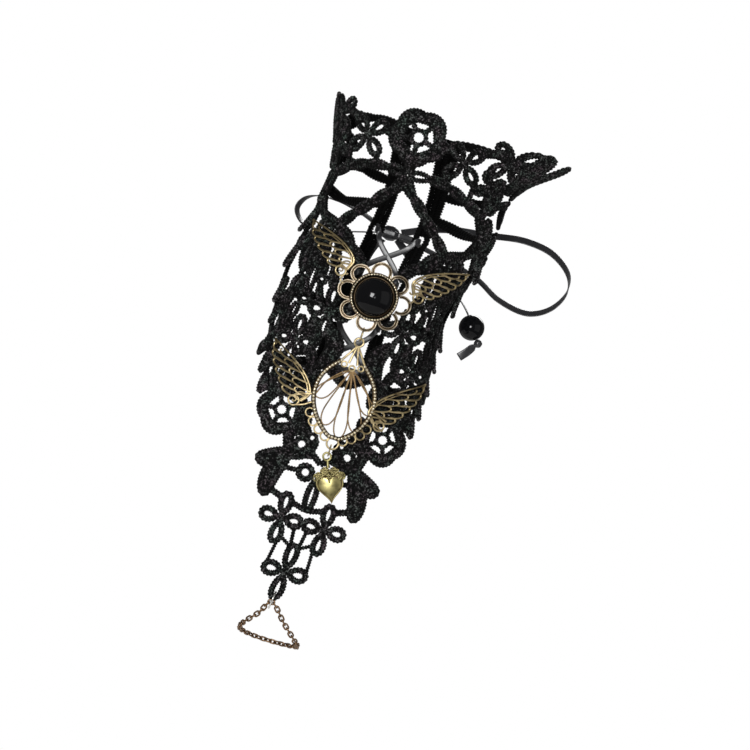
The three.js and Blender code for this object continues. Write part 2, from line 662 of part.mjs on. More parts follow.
function flowerPlate() {
  const outline = [];
  const windows = [];
  for (let i = 0; i < FLOWER_PETALS; i += 1) {
    const turn = (2 * Math.PI * i) / FLOWER_PETALS;
    const x = PETAL_CENTRE * Math.cos(turn);
    const y = PETAL_CENTRE * Math.sin(turn);
    for (let k = 0; k < PETAL_POINTS; k += 1) {
      const angle = turn + radians(PETAL_SPREAD * ((2 * k) / (PETAL_POINTS - 1) - 1));
      const outer = PETAL_RING + WIRE / 2;
      outline.push(point(x + outer * Math.cos(angle), y + outer * Math.sin(angle)));
      if (k === PETAL_POINTS - 1) {
        const notch = turn + Math.PI / FLOWER_PETALS;
        outline.push(point(NOTCH_RADIUS * Math.cos(notch), NOTCH_RADIUS * Math.sin(notch)));
      }
    }
    const inner = PETAL_RING - WIRE / 2;
    const near = BEZEL_RADIUS - PETAL_CENTRE + 0.3;
    const half = Math.sqrt(inner * inner - near * near);
    const put = (along, aside) => point(along, aside).rotateAround(point(0, 0), turn).add(point(x, y));
    windows.push([
      put(near, -half),
      put(inner * Math.cos(WINDOW_CORNER), -inner * Math.sin(WINDOW_CORNER)),
      put(inner, 0),
      put(inner * Math.cos(WINDOW_CORNER), inner * Math.sin(WINDOW_CORNER)),
      put(near, half),
    ]);
  }
  return slab(outline, windows, METAL_UNDER, PLATE);
}

const WRIST = SECTIONS.find((row) => row.z === 0);
const FLOWER_X = WRIST.middle;
const FRONT = -(WRIST.front + METAL_UNDER);

// Turns a lathe profile round the axis that points out of the back of the wrist.
function turned(profile, sides) {
  const lathe = new THREE.LatheGeometry(profile.map(([radius, height]) => point(radius, height)), sides);
  return lathe.rotateX(Math.PI).translate(FLOWER_X, FRONT, 0);
}

// The links that join the wings to the flower and to the teardrop's frame, from here to the wing.
const UPPER_LINK = { s: 11.4, v: 2.4, wide: 2.4 };
const LOWER_LINK = { s: 10.2, v: -40.4, endS: 15.2, endV: -42.0, wide: 2.6 };
const CUP_FLOOR = PLATE + 0.3;

function wingedFlower() {
  const link = ({ side, s, v }) =>
    barSlab(side * UPPER_LINK.s, UPPER_LINK.v, side * s, v, UPPER_LINK.wide, METAL_UNDER, PLATE);
  const flat = joined([flowerPlate(), ...UPPER_WINGS.map(wing), ...UPPER_WINGS.map(link)]);
  const bent = bend(splitLong(geometryOf(flat), 8, 24), onLace);
  const cup = turned(
    [
      [0, 0],
      [BEZEL_RADIUS, 0],
      [BEZEL_RADIUS, BEZEL_HEIGHT - 0.6],
      [BEZEL_RADIUS - 0.4, BEZEL_HEIGHT],
      [RECESS_RADIUS, BEZEL_HEIGHT],
      [RECESS_RADIUS, CUP_FLOOR],
      [0, CUP_FLOOR],
    ],
    20,
  );
  return geometryOf(solidOf(bent).add(solidOf(cup)));
}

function stoneGeometry() {
  const seat = CUP_FLOOR + 0.3;
  const girdle = seat + 0.9;
  const profile = [
    [0, seat],
    [STONE_RADIUS - 0.5, seat],
    [STONE_RADIUS, girdle],
  ];
  const arcs = 5;
  for (let i = 1; i <= arcs; i += 1) {
    const angle = (i / arcs) * (Math.PI / 2);
    profile.push([STONE_RADIUS * Math.cos(angle), girdle + STONE_DOME * Math.sin(angle)]);
  }
  profile[profile.length - 1][0] = 0;
  return turned(profile, 20);
}

// Teardrop pendant: half width of its frame at each height, and how far it leans to the right.
const DROP_FRAME = [
  { v: -18.2, half: 0.9 },
  { v: -21.2, half: 2.3 },
  { v: -24.2, half: 4.8 },
  { v: -28.0, half: 8.2 },
  { v: -32.2, half: 10.3 },
  { v: -37.0, half: 11.0 },
  { v: -41.4, half: 10.3 },
  { v: -45.4, half: 8.4 },
  { v: -48.8, half: 5.6 },
  { v: -51.0, half: 2.6 },
  { v: -51.8, half: 0 },
];
const DROP_LEAN = 0.052;
const DROP_TOP = -16.7;
const DROP_BAND = 1.5;
const DROP_FAN_ROOT = { s: 0.4, v: -26.2 };
const DROP_FAN = [
  { turn: -37.6, long: 16.6 },
  { turn: -13, long: 22.6 },
  { turn: 2, long: 25.4 },
  { turn: 16.5, long: 22.6 },
  { turn: 34.5, long: 17.4 },
];
const FAN_LEAF = { wide: 4.9, holeShorter: 2.4, holeWide: 3.4, recess: 0.1 };
const DROP_SCALLOPS = [
  { s: 9.95, v: -45.0 },
  { s: 8.3, v: -47.7 },
  { s: 5.8, v: -49.8 },
  { s: 3.2, v: -51.5 },
];
const SCALLOP = 1.9;
const SCALLOP_HOLE = 1.0;
const DROP_TOE = { s: 0, v: -53.2, radius: 2.3, hole: 1.3 };
const DROP_EYE = { radius: 1.9, hole: 1.1 };

const dropPoint = (s, v) => point(s + DROP_LEAN * (DROP_TOP - v), v);

function dropFrame(inset, rows) {
  const right = rows.map((row) => [Math.max(row.half - inset, 0.02), row.v]);
  const left = right.map(([half, v]) => [-half, v]).reverse();
  return [...right, ...left.slice(rows[rows.length - 1].half ? 0 : 1)].map(([s, v]) => dropPoint(s, v));
}

function discSlab(centre, radius, hole, sides) {
  const outer = oval(centre.x, centre.y, 2 * radius, 2 * radius, 0, sides);
  const inner = oval(centre.x, centre.y, 2 * hole, 2 * hole, 0, sides - 2);
  return slab(outer, [inner], METAL_UNDER, PLATE);
}

function teardrop() {
  const outer = dropFrame(0, DROP_FRAME).reverse();
  const window = dropFrame(DROP_BAND, DROP_FRAME.slice(2));
  const low = window.reduce((least, p) => Math.min(least, p.y), 0);
  for (const p of window) if (p.y === low) p.y += DROP_BAND;
  const parts = [
    slab(outer, [window], METAL_UNDER, PLATE),
    discSlab(dropPoint(0, DROP_TOP), DROP_EYE.radius, DROP_EYE.hole, 8),
    discSlab(dropPoint(DROP_TOE.s, DROP_TOE.v), DROP_TOE.radius, DROP_TOE.hole, 8),
  ];
  for (const { s, v } of DROP_SCALLOPS) {
    for (const side of [1, -1]) parts.push(discSlab(dropPoint(side * s, v), SCALLOP, SCALLOP_HOLE, 8));
  }
  const root = dropPoint(DROP_FAN_ROOT.s, DROP_FAN_ROOT.v);
  for (const { turn: fan, long } of DROP_FAN) {
    const turn = radians(fan - 90);
    const middle = point(long / 2, 0).rotateAround(point(0, 0), turn).add(root);
    const outline = oval(middle.x, middle.y, long, FAN_LEAF.wide, turn, 8);
    const hole = oval(middle.x, middle.y, long - FAN_LEAF.holeShorter, FAN_LEAF.holeWide, turn, 6);
    parts.push(slab(outline, [hole], METAL_UNDER + FAN_LEAF.recess, PLATE - 2 * FAN_LEAF.recess));
  }
  for (const place of LOWER_WINGS) {
    const { s, v, endS, endV, wide } = LOWER_LINK;
    const start = dropPoint(place.side * s, v);
    parts.push(wing(place));
    parts.push(barSlab(start.x, start.y, place.side * endS, endV, wide, METAL_UNDER, PLATE));
  }
  return bend(splitLong(withoutShortEdges(geometryOf(joined(parts)), 0.1), 9, 24), onLace);
}

// A closed wire ring of round section with its centre on the chart and its axis along s, so that it
// stands across the lace and runs up the arm.
function standingRing({ s, v, h, radius, wire }) {
  const torus = new THREE.TorusGeometry(radius, wire / 2, 5, 12);
  torus.rotateY(Math.PI / 2).translate(s, v, h);
  return bend(torus, onLace);
}

const UPPER_RING = { s: 0, v: -13.75, h: 3.3, radius: 2.45, wire: 0.5 };
const LOWER_RING = { s: 1.65, v: -55.75, h: 3.3, radius: 2.0, wire: 0.5 };
const TIP_RING = { s: 0, v: -111.6, h: 2.5, radius: 3.1, wire: 0.6 };

// Puffed heart with a rim, a crown of small flowers and a bail ring, hanging a little off the axis.
const HEART = { s: 5.4, v: -67.9, lean: 22, wide: 9.6, high: 11.6, middle: 1.0 };
const HEART_BUDS = [
  { x: -3.9, y: 3.9, radius: 1.4 },
  { x: -2.1, y: 5.0, radius: 1.6 },
  { x: 0, y: 5.3, radius: 1.9 },
  { x: 2.1, y: 5.0, radius: 1.6 },
  { x: 3.9, y: 3.9, radius: 1.4 },
];
const BUD_HIGH = 2.0;
const HEART_STEM = { from: 6.3, long: 3.0, radius: 0.7, foot: 0.9 };
const HEART_BAIL = { y: 10.6, radius: 1.35, wire: 0.8 };

const HEART_LEVELS = [
  { scale: 1, height: 0 },
  { scale: 1, height: 0.9 },
  { scale: 0.82, height: 1.0 },
  { scale: 0.7, height: 1.9 },
  { scale: 0.4, height: 2.4 },
];

// The closed body through one outline at several scales and heights, like a low dome.
function domed(outline, levels) {
  const count = outline.length;
  const points = [0, 0, levels[0].height];
  for (const { scale, height } of levels) {
    for (const p of outline) points.push(p.x * scale, p.y * scale, height);
  }
  const top = points.length / 3;
  points.push(0, 0, levels[levels.length - 1].height + 0.15);
  const faces = [];
  for (let k = 0; k < count; k += 1) {
    const next = (k + 1) % count;
    faces.push(0, 1 + next, 1 + k);
    faces.push(top, top - count + k, top - count + next);
    for (let row = 0; row < levels.length - 1; row += 1) {
      const a = 1 + row * count;
      faces.push(a + k, a + next, a + count + next, a + k, a + count + next, a + count + k);
    }
  }
  const made = new THREE.BufferGeometry();
  made.setAttribute("position", new THREE.BufferAttribute(new Float32Array(points), 3));
  made.setIndex(faces);
  return made;
}

function heartOutline() {
  const points = [];
  const steps = 16;
  for (let i = 0; i < steps; i += 1) {
    const a = (2 * Math.PI * i) / steps;
    const x = Math.sin(a) ** 3;
    const y = (13 * Math.cos(a) - 5 * Math.cos(2 * a) - 2 * Math.cos(3 * a) - Math.cos(4 * a)) / 16;
    points.push(point((x * HEART.wide) / 2, (y * HEART.high) / 2));
  }
  return points.reverse();
}

function heartCharm() {
  const parts = [solidOf(domed(heartOutline(), HEART_LEVELS))];
  for (const { x, y, radius } of HEART_BUDS) {
    const bud = new THREE.CylinderGeometry(radius * 0.8, radius, BUD_HIGH, 6).rotateX(Math.PI / 2);
    parts.push(solidOf(bud.translate(x, y, HEART.middle)));
  }
  const stem = new THREE.CylinderGeometry(HEART_STEM.radius, HEART_STEM.foot, HEART_STEM.long, 6);
  stem.translate(0, HEART_STEM.from + HEART_STEM.long / 2, HEART.middle);
  const bail = new THREE.TorusGeometry(HEART_BAIL.radius, HEART_BAIL.wire / 2, 5, 10);
  bail.translate(0, HEART_BAIL.y, HEART.middle);
  parts.push(solidOf(stem), solidOf(bail));
  const flat = geometryOf(joined(parts)).rotateZ(radians(HEART.lean));
  flat.translate(HEART.s, HEART.v, METAL_UNDER);
  return bend(flat, onLace);
}

// A straight bar of the section, bent along a curve with its width turned as asked at each place.
function sweep(section, curve, steps, widthWayAt) {
  const strip = new THREE.ExtrudeGeometry(new THREE.Shape(section), { depth: 1, steps, bevelEnabled: false });
  const position = strip.attributes.position;
  for (let i = 0; i < position.count; i += 1) {
    const t = THREE.MathUtils.clamp(position.getZ(i), 0, 1);
    const tangent = curve.getTangent(t);
    const wide = widthWayAt(t).clone();
    wide.addScaledVector(tangent, -wide.dot(tangent)).normalize();
    const thick = new THREE.Vector3().crossVectors(tangent, wide);
    const p = curve.getPoint(t);
    p.addScaledVector(wide, position.getX(i)).addScaledVector(thick, position.getY(i));
    position.setXYZ(i, p.x, p.y, p.z);
  }
  return strip;
}

const ribbonSection = (wide, thick) => [
  point(-wide / 2, -thick / 4),
  point(-wide / 2 + thick / 2, -thick / 2),
  point(wide / 2 - thick / 2, -thick / 2),
  point(wide / 2, -thick / 4),
  point(wide / 2, thick / 4),
  point(wide / 2 - thick / 2, thick / 2),
  point(-wide / 2 + thick / 2, thick / 2),
  point(-wide / 2, thick / 4),
];

const curveOf = (points, closed = false) =>
  new THREE.CatmullRomCurve3(points.map(([x, y, z]) => new THREE.Vector3(x, y, z)), closed, "centripetal");

// A free ribbon along points of its middle line. Its width turns through a few ways in even steps.
function ribbon(points, ways) {
  const turns = ways.map(([x, y, z]) => new THREE.Vector3(x, y, z));
  const section = ribbonSection(RIBBON_WIDTH, RIBBON_THICK);
  return sweep(section, curveOf(points), points.length - 1, (t) => {
    const place = t * (turns.length - 1);
    const i = Math.min(Math.floor(place), turns.length - 2);
    return turns[i].clone().lerp(turns[i + 1], place - i);
  });
}

const EYELET_LOW = EYELETS[EYELETS.length - 1];
const SECTION_BACK_LOW = columnAt(SECTIONS, "back", EYELET_LOW);

// The bow is tied over the gap at the highest eyelets. A ball of the ribbon is its knot.
const BOW = { y: 25.4, z: 24, wide: 7, deep: 4, high: 5.4, strandEnd: 2.4 };

const LACING_CLEAR = 1.1;
const LACING_SLANT = 0.24;

// One end of the lacing: up through the eyelets from the lowest, in and out across the gap by turns.
function lacingStrand(side) {
  const over = LACE_TOP + LACING_CLEAR;
  const under = LACE_UNDER - LACING_CLEAR;
  const way = [];
  const at = (s, v, h) => way.push(onLace(s, v, h).toArray());
  const beside = EDGE_WIDTH / 2 + 0.3;
  EYELETS.toReversed().forEach((v, i) => {
    const edge = side * (i % 2 ? 1 : -1);
    const goingIn = i % 2 === 0;
    const [first, second] = goingIn ? [over, under] : [under, over];
    if (i > 0) {
      const before = EYELETS[EYELETS.length - i];
      at(edge * (EDGE_S + beside), v - (v - before) * LACING_SLANT, first);
    } else {
      way.push([FLOWER_X, SECTION_BACK_LOW + over, v]);
      at(edge * (EDGE_S + beside), v, first);
    }
    at(edge * (EDGE_S + 0.5), v, first);
    at(edge * EDGE_S, v, LACE_UNDER + LACE_WALL / 2);
    at(edge * (EDGE_S + 0.5), v, second);
    if (i < EYELETS.length - 1) {
      const next = EYELETS[EYELETS.length - 2 - i];
      at(edge * (EDGE_S + beside), v + (next - v) * LACING_SLANT, second);
    }
  });
  way.push([side * BOW.strandEnd, BOW.y - BOW.deep / 2 - 0.7, BOW.z]);
  const section = ribbonSection(LACING_WIDTH, RIBBON_THICK).filter((p) => Math.abs(p.y) > RIBBON_THICK / 3);
  const up = new THREE.Vector3(0, 0, 1);
  return sweep(section, curveOf(way), way.length - 1, () => up);
}

const BOW_LOOP_RIGHT = [
  [3.9, 25.6, 25.2],
  [11, 26.6, 28.4],
  [21, 26.2, 31.6],
  [33, 24.4, 33.3],
  [46.9, 21.8, 35.3],
  [57.7, 19.8, 33.6],
  [65.0, 18.8, 28.0],
  [66.2, 18.4, 21.8],
  [62.4, 18.6, 14.8],
  [55.2, 19.6, 10.9],
  [43.9, 21.6, 12.5],
  [34.5, 23.6, 17.3],
  [21, 25.8, 20.6],
  [11, 26.4, 22.6],
  [3.9, 25.8, 23.2],
];
const BOW_LOOP_LEFT = [
  [-3.9, 25.6, 25.2],
  [-11, 26.8, 27.8],
  [-20, 25.8, 29.8],
  [-28.4, 23.2, 29.2],
  [-32.9, 21.6, 26.4],
  [-34.2, 21.4, 22.6],
  [-31.2, 22.2, 18.6],
  [-24, 24.4, 17.6],
  [-13, 26.4, 20.6],
  [-3.9, 25.8, 23.2],
];
const BEAD_RIGHT = [37.6, 20.8, 0.25];
const BEAD_LEFT = [-7.6, 30.4, -6.4];
const TAIL_RIGHT = [
  [3.0, 27.2, 22.6],
  [8, 28.7, 18.9],
  [14, 28.2, 16.4],
  [21, 26.2, 13.8],
  [29.6, 22.6, 9.4],
  [34.7, 21.2, 4.75],
];
const TAIL_LEFT = [
  [-2.0, 26.9, 21.3],
  [-4.4, 29.4, 17.2],
  [-5.8, 30.6, 12],
  [-6.8, 30.6, 5],
  [-7.4, 30.4, -1.45],
];
const END_RIGHT = [
  [40.25, 19.7, -5.95],
  [38.7, 19.8, -8.3],
  [36.3, 19.8, -11.1],
];
const END_LEFT = [
  [-8.2, 30.2, -14.65],
  [-8.6, 30.0, -17],
  [-9.2, 29.6, -20.5],
];
const BEAD_KNOT_RIGHT = [41.4, 19.5, -4.5];
const BEAD_KNOT_LEFT = [-8, 30.3, -12.8];

function ball([x, y, z], [wide, deep, high], sides, rings) {
  const sphere = new THREE.SphereGeometry(0.5, sides, rings).rotateX(Math.PI / 2);
  return sphere.scale(wide, deep, high).translate(x, y, z);
}

const bead = (place) => ball(place, Array(3).fill(2 * BEAD_RADIUS), 12, 8);
const stopKnot = (place) => ball(place, Array(3).fill(2 * BEAD_KNOT_RADIUS), 8, 6);

// The finger chain as its outer tube: from inside the tip ring round the finger and back.
const FINGER_BACK = [
  [-4.8, -19.4, -117.4],
  [-8.6, -16.6, -121.8],
  [-9.8, -10.6, -124.2],
  [-8.2, -3.8, -125.6],
  [-4.2, 0.4, -126.3],
  [1.0, 1.6, -126.5],
  [6.2, 0.2, -126.3],
  [10.4, -4.2, -125.8],
  [11.6, -10.8, -125],
  [9.9, -16.6, -123.1],
  [4.8, -19.4, -118.4],
];

function fingerChain() {
  const start = onLace(0, TIP_RING.v - 0.9, TIP_RING.h + 0.6);
  const curve = curveOf([start.toArray(), ...FINGER_BACK], true);
  const sides = 8;
  const steps = 30;
  const tube = new THREE.TorusGeometry(1, 0.5, sides, steps);
  const position = tube.attributes.position;
  const uv = tube.attributes.uv;
  const outward = new THREE.Vector3(0, 0, -1);
  for (let i = 0; i < position.count; i += 1) {
    const t = uv.getX(i) % 1;
    const angle = (uv.getY(i) % 1) * 2 * Math.PI;
    const tangent = curve.getTangentAt(t);
    const aside = new THREE.Vector3().crossVectors(tangent, outward).normalize();
    const up = new THREE.Vector3().crossVectors(aside, tangent);
    const p = curve.getPointAt(t);
    p.addScaledVector(aside, (Math.cos(angle) * CHAIN_WIDE) / 2);
    p.addScaledVector(up, (Math.sin(angle) * CHAIN_WIDE) / 2);
    position.setXYZ(i, p.x, p.y, p.z);
  }
  return tube;
}

const cuff = new THREE.Group();

function addPiece(name, geometry, material) {
  const clean = withoutShortEdges(geometry, SHORTEST_EDGE);
  const mesh = new THREE.Mesh(clean, new THREE.MeshStandardMaterial(material));
  mesh.name = name;
  cuff.add(mesh);
}

const LACE_FINISH = { color: 0x0b0b0c, roughness: 0.75, metalness: 0 };
const BRASS = { color: 0x8a7440, roughness: 0.42, metalness: 1 };
const BRONZE = { color: 0x4a3320, roughness: 0.45, metalness: 1 };
const STEEL = { color: 0xb9b4aa, roughness: 0.3, metalness: 1 };
const GLASS = { color: 0x050506, roughness: 0.06, metalness: 0 };
const SATIN = { color: 0x141416, roughness: 0.35, metalness: 0 };

addPiece("lace_cuff", laceGeometry(), LACE_FINISH);
addPiece("winged_flower_setting", wingedFlower(), BRASS);
addPiece("cabochon", stoneGeometry(), GLASS);
addPiece("upper_jump_ring", standingRing(UPPER_RING), BRASS);
addPiece("winged_teardrop", teardrop(), BRASS);
addPiece("lower_jump_ring", standingRing(LOWER_RING), BRASS);
addPiece("heart_charm", heartCharm(), BRASS);
addPiece("finger_jump_ring", standingRing(TIP_RING), STEEL);
addPiece("finger_chain", fingerChain(), BRONZE);
addPiece("lacing_ribbon", geometryOf(solidOf(lacingStrand(1)).add(solidOf(lacingStrand(-1)))), SATIN);
addPiece("bow_knot", ball([0, BOW.y, BOW.z], [BOW.wide, BOW.deep, BOW.high], 10, 6), SATIN);
addPiece("bow_loop_right", ribbon(BOW_LOOP_RIGHT, [[0, 0.55, 0.85], [0, 0.8, 0.55]]), SATIN);
addPiece("bow_loop_left", ribbon(BOW_LOOP_LEFT, [[0, 0.8, 0.6], [0.6, 0.8, 0], [0.3, 0.9, 0.2]]), SATIN);
addPiece("tail_right", ribbon(TAIL_RIGHT, [[0.6, 0, -1], [0.2, 1, 0]]), SATIN);
addPiece("bead_right", bead(BEAD_RIGHT), GLASS);
addPiece("bead_knot_right", stopKnot(BEAD_KNOT_RIGHT), SATIN);
addPiece("tail_end_right", ribbon(END_RIGHT, [[1, 0, -0.5], [1, 0, -0.5]]), SATIN);
addPiece("tail_left", ribbon(TAIL_LEFT, [[1, 0, 0.4], [1, 0, 0]]), SATIN);
addPiece("bead_left", bead(BEAD_LEFT), GLASS);
addPiece("bead_knot_left", stopKnot(BEAD_KNOT_LEFT), SATIN);
addPiece("tail_end_left", ribbon(END_LEFT, [[1, 0, 0], [1, 0.3, 0]]), SATIN);

export default cuff;
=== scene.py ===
import math

import bpy
import numpy as np
from mathutils import Matrix, Vector


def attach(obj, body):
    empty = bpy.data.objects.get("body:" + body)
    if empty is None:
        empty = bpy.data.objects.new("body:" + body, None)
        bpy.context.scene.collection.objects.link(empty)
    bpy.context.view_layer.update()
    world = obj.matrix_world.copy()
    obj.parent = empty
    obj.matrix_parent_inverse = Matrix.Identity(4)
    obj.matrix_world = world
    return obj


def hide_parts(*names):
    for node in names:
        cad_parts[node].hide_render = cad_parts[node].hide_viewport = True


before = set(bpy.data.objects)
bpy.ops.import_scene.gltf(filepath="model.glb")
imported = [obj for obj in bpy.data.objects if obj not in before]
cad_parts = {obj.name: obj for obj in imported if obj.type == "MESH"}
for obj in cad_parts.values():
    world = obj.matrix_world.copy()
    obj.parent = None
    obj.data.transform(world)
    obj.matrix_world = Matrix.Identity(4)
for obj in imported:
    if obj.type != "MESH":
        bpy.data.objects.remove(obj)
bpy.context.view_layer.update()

# The cuff as it is worn: seen square on from the back of the hand, with the forearm leaning to the
# right. A long lens keeps the near and the far side of the wrist at one scale.
MM = 0.001
PICTURE_WIDTH = 262.5 * MM
ARM_LEAN = math.radians(17.1)
PICTURE_MIDDLE = (9.7 * MM, -25.9 * MM)
WRIST_FRONT = 20 * MM
CAMERA_AWAY = 2.5
CAMERA_SEES = 50
SENSOR_WIDTH = 36.0


def in_scene(name, data):
    """A new object in the scene that holds a camera, a light or a mesh."""
    thing = bpy.data.objects.new(name, data)
    bpy.context.collection.objects.link(thing)
    return thing


camera_data = bpy.data.cameras.new("camera")
camera_data.sensor_width = SENSOR_WIDTH
camera_data.lens = SENSOR_WIDTH * CAMERA_AWAY / PICTURE_WIDTH
camera_data.clip_end = CAMERA_SEES
camera = in_scene("camera", camera_data)
picture_right = Vector((math.cos(ARM_LEAN), 0, math.sin(ARM_LEAN)))
picture_up = Vector((-math.sin(ARM_LEAN), 0, math.cos(ARM_LEAN)))
camera.matrix_world = Matrix.Translation(
    (PICTURE_MIDDLE[0], -CAMERA_AWAY - WRIST_FRONT, PICTURE_MIDDLE[1])
) @ Matrix((picture_right, picture_up, picture_right.cross(picture_up))).transposed().to_4x4()
bpy.context.scene.camera = camera

# Plain pale floor under the held cuff, and soft studio light: a key beside the lens, a rake of light from
# the upper left that brings out the stitches, a broad fill and a strip from behind.
FLOOR_Z = -0.235
FLOOR_RADIUS = 0.34
FLOOR_SIDES = 96
FLOOR_COLOR = (0.86, 0.85, 0.84)
FLOOR_ROUGHNESS = 0.9
WHITE = (1, 1, 1, 1)
ROOM_STRENGTH = 0.16
LIGHTS = [
    # name, place, what it points at, width and height, watts, and whether polished things mirror it
    ("key_light", (-0.2, -1.15, 0.12), (0, 0, -0.03), (0.28, 0.32), 10.5, True),
    ("raking_light", (-0.7, -0.55, 0.7), (0, 0, -0.03), (0.7, 0.7), 7.0, False),
    ("fill_light", (1.3, -0.9, 0.3), (0, 0, -0.03), (1.6, 1.6), 5.0, True),
    ("edge_light", (0.2, 0.75, 0.5), (0.02, 0, 0), (0.6, 0.3), 5.0, True),
]


def set_inputs(node, **values):
    """Sets inputs of a node by name, with _ for each space in it, and gives the node back."""
    for name, value in values.items():
        node.inputs[name.replace("_", " ")].default_value = value
    return node


def new_node(tree, kind, **values):
    return set_inputs(tree.nodes.new(kind), **values)


def join(tree, *rows):
    """Links of a tree. Each row is a node and its output, then the next node and its input."""
    for source, output, target, taken in rows:
        tree.links.new(source.outputs[output], target.inputs[taken])


def finish_of(name, color, roughness, metallic=0.0, **more):
    """A material, with its node tree and its Principled shader."""
    material = bpy.data.materials.new(name)
    material.use_nodes = True
    shader = material.node_tree.nodes["Principled BSDF"]
    set_inputs(shader, Base_Color=(*color, 1), Roughness=roughness, Metallic=metallic, **more)
    return material, material.node_tree, shader


def mesh_of(name, vertices, faces, finish):
    mesh = bpy.data.meshes.new(name)
    mesh.from_pydata(np.asarray(vertices).tolist(), [], [tuple(map(int, face)) for face in faces])
    mesh.materials.append(finish)
    return mesh


def round_steps(count):
    """Even steps round one full turn."""
    return np.linspace(0, 2 * math.pi, count, endpoint=False)


floor_rim = [
    (FLOOR_RADIUS * math.cos(a), FLOOR_RADIUS * math.sin(a), FLOOR_Z) for a in round_steps(FLOOR_SIDES)
]
floor_paint, _, _ = finish_of("pale_floor", FLOOR_COLOR, FLOOR_ROUGHNESS)
floor = in_scene("floor", mesh_of("floor", floor_rim, [range(FLOOR_SIDES)], floor_paint))

for name, place, aim, size, watts, mirrored in LIGHTS:
    data = bpy.data.lights.new(name, "AREA")
    data.shape = "RECTANGLE"
    data.size, data.size_y = size
    data.energy = watts
    lamp = in_scene(name, data)
    lamp.location = place
    lamp.rotation_euler = (Vector(aim) - Vector(place)).to_track_quat("-Z", "Y").to_euler()
    lamp.visible_glossy = mirrored

world = bpy.data.worlds.new("white_room")
world.use_nodes = True
room = world.node_tree
room_light = set_inputs(room.nodes["Background"], Color=WHITE, Strength=ROOM_STRENGTH)
seen_white = new_node(room, "ShaderNodeBackground", Color=WHITE)
which_ray = new_node(room, "ShaderNodeLightPath")
room_mix = new_node(room, "ShaderNodeMixShader")
join(
    room,
    (which_ray, "Is Camera Ray", room_mix, "Fac"),
    (room_light, 0, room_mix, 1),
    (seen_white, 0, room_mix, 2),
    (room_mix, 0, room.nodes["World Output"], "Surface"),
)
bpy.context.scene.world = world
bpy.context.scene.view_settings.view_transform = "Standard"

# Bow: two loops of narrow black satin ribbon that stand out on both sides behind the wrist, tied over
# the lacing on the palm side. The ribbon is woven flat with a firm selvedge along both edges.
RIBBON_WIDTH = 3.0 * MM
RIBBON_THICK = 0.5 * MM
RIBBON_SIDES = 16
RIBBON_EDGE = 0.6
BOW_STEPS = 10
BOW_LOOP_RIGHT = [
    # across, away from the lens and up, in millimetres, as in all routes below
    (3.9, 25.6, 25.2),
    (11, 26.6, 28.4),
    (21, 26.2, 31.6),
    (33, 24.4, 33.3),
    (46.9, 21.8, 35.3),
    (57.7, 19.8, 33.6),
    (65.0, 18.8, 28.0),
    (66.2, 18.4, 21.8),
    (62.4, 18.6, 14.8),
    (55.2, 19.6, 10.9),
    (43.9, 21.6, 12.5),
    (34.5, 23.6, 17.3),
    (21, 25.8, 20.6),
    (11, 26.4, 22.6),
    (3.9, 25.8, 23.2),
]
BOW_LOOP_LEFT = [
    (-3.9, 25.6, 25.2),
    (-11, 26.8, 27.8),
    (-20, 25.8, 29.8),
    (-28.4, 23.2, 29.2),
    (-32.9, 21.6, 26.4),
    (-34.2, 21.4, 22.6),
    (-31.2, 22.2, 18.6),
    (-24, 24.4, 17.6),
    (-13, 26.4, 20.6),
    (-3.9, 25.8, 23.2),
]


def route_through(points, steps, closed=False):
    """Centripetal curve through points, as rows of x, y and z."""
    p = np.array(points, float)
    if closed:
        before, after = np.roll(p, 1, 0), np.roll(p, -1, 0)
        spans = [(before[i], p[i], after[i], np.roll(p, -2, 0)[i]) for i in range(len(p))]
    else:
        row = np.vstack([2 * p[0] - p[1], p, 2 * p[-1] - p[-2]])
        spans = [tuple(row[i : i + 4]) for i in range(len(p) - 1)]
    out = []
    for a, b, c, d in spans:
        one, two, three = (max(np.linalg.norm(q - r) ** 0.5, 1e-4) for q, r in ((b, a), (c, b), (d, c)))
        leave = ((b - a) / one - (c - a) / (one + two) + (c - b) / two) * two
        arrive = ((c - b) / two - (d - b) / (two + three) + (d - c) / three) * two
        t = np.linspace(0, 1, steps, endpoint=False)[:, None]
        rise = 2 * b - 2 * c + leave + arrive
        out.append(b + leave * t + (3 * c - 3 * b - 2 * leave - arrive) * t**2 + rise * t**3)
    if not closed:
        out.append(p[-1:])
    return np.vstack(out)


def length_along(route):
    """Length of a route from its start to each of its points."""
    return np.concatenate([[0], np.cumsum(np.linalg.norm(np.diff(route, axis=0), axis=1))])


def grid_faces(rows, sides, joined=False, other_way=False):
    """Faces between rows of points round a form that closes on itself or has a cap at each end."""
    faces = []
    for i in range(rows if joined else rows - 1):
        near, far = i * sides, (i + 1) % rows * sides
        for k in range(sides):
            n = (k + 1) % sides
            rest = (near + n, far + n, far + k)
            faces.append((near + k, *(rest[::-1] if other_way else rest)))
    if not joined:
        first, last = tuple(range(sides)), tuple(range((rows - 1) * sides, rows * sides))
        faces += [first, last[::-1]] if other_way else [first[::-1], last]
    return faces


def smooth_piece(name, vertices, faces, finish):
    mesh = mesh_of(name, vertices, faces, finish)
    mesh.shade_smooth()
    return in_scene(name, mesh)


def fitted(piece, slot, *nodes):
    """A piece that stands for nodes of the part and is fixed to its body."""
    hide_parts(*nodes)
    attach(piece, "root")
    return piece


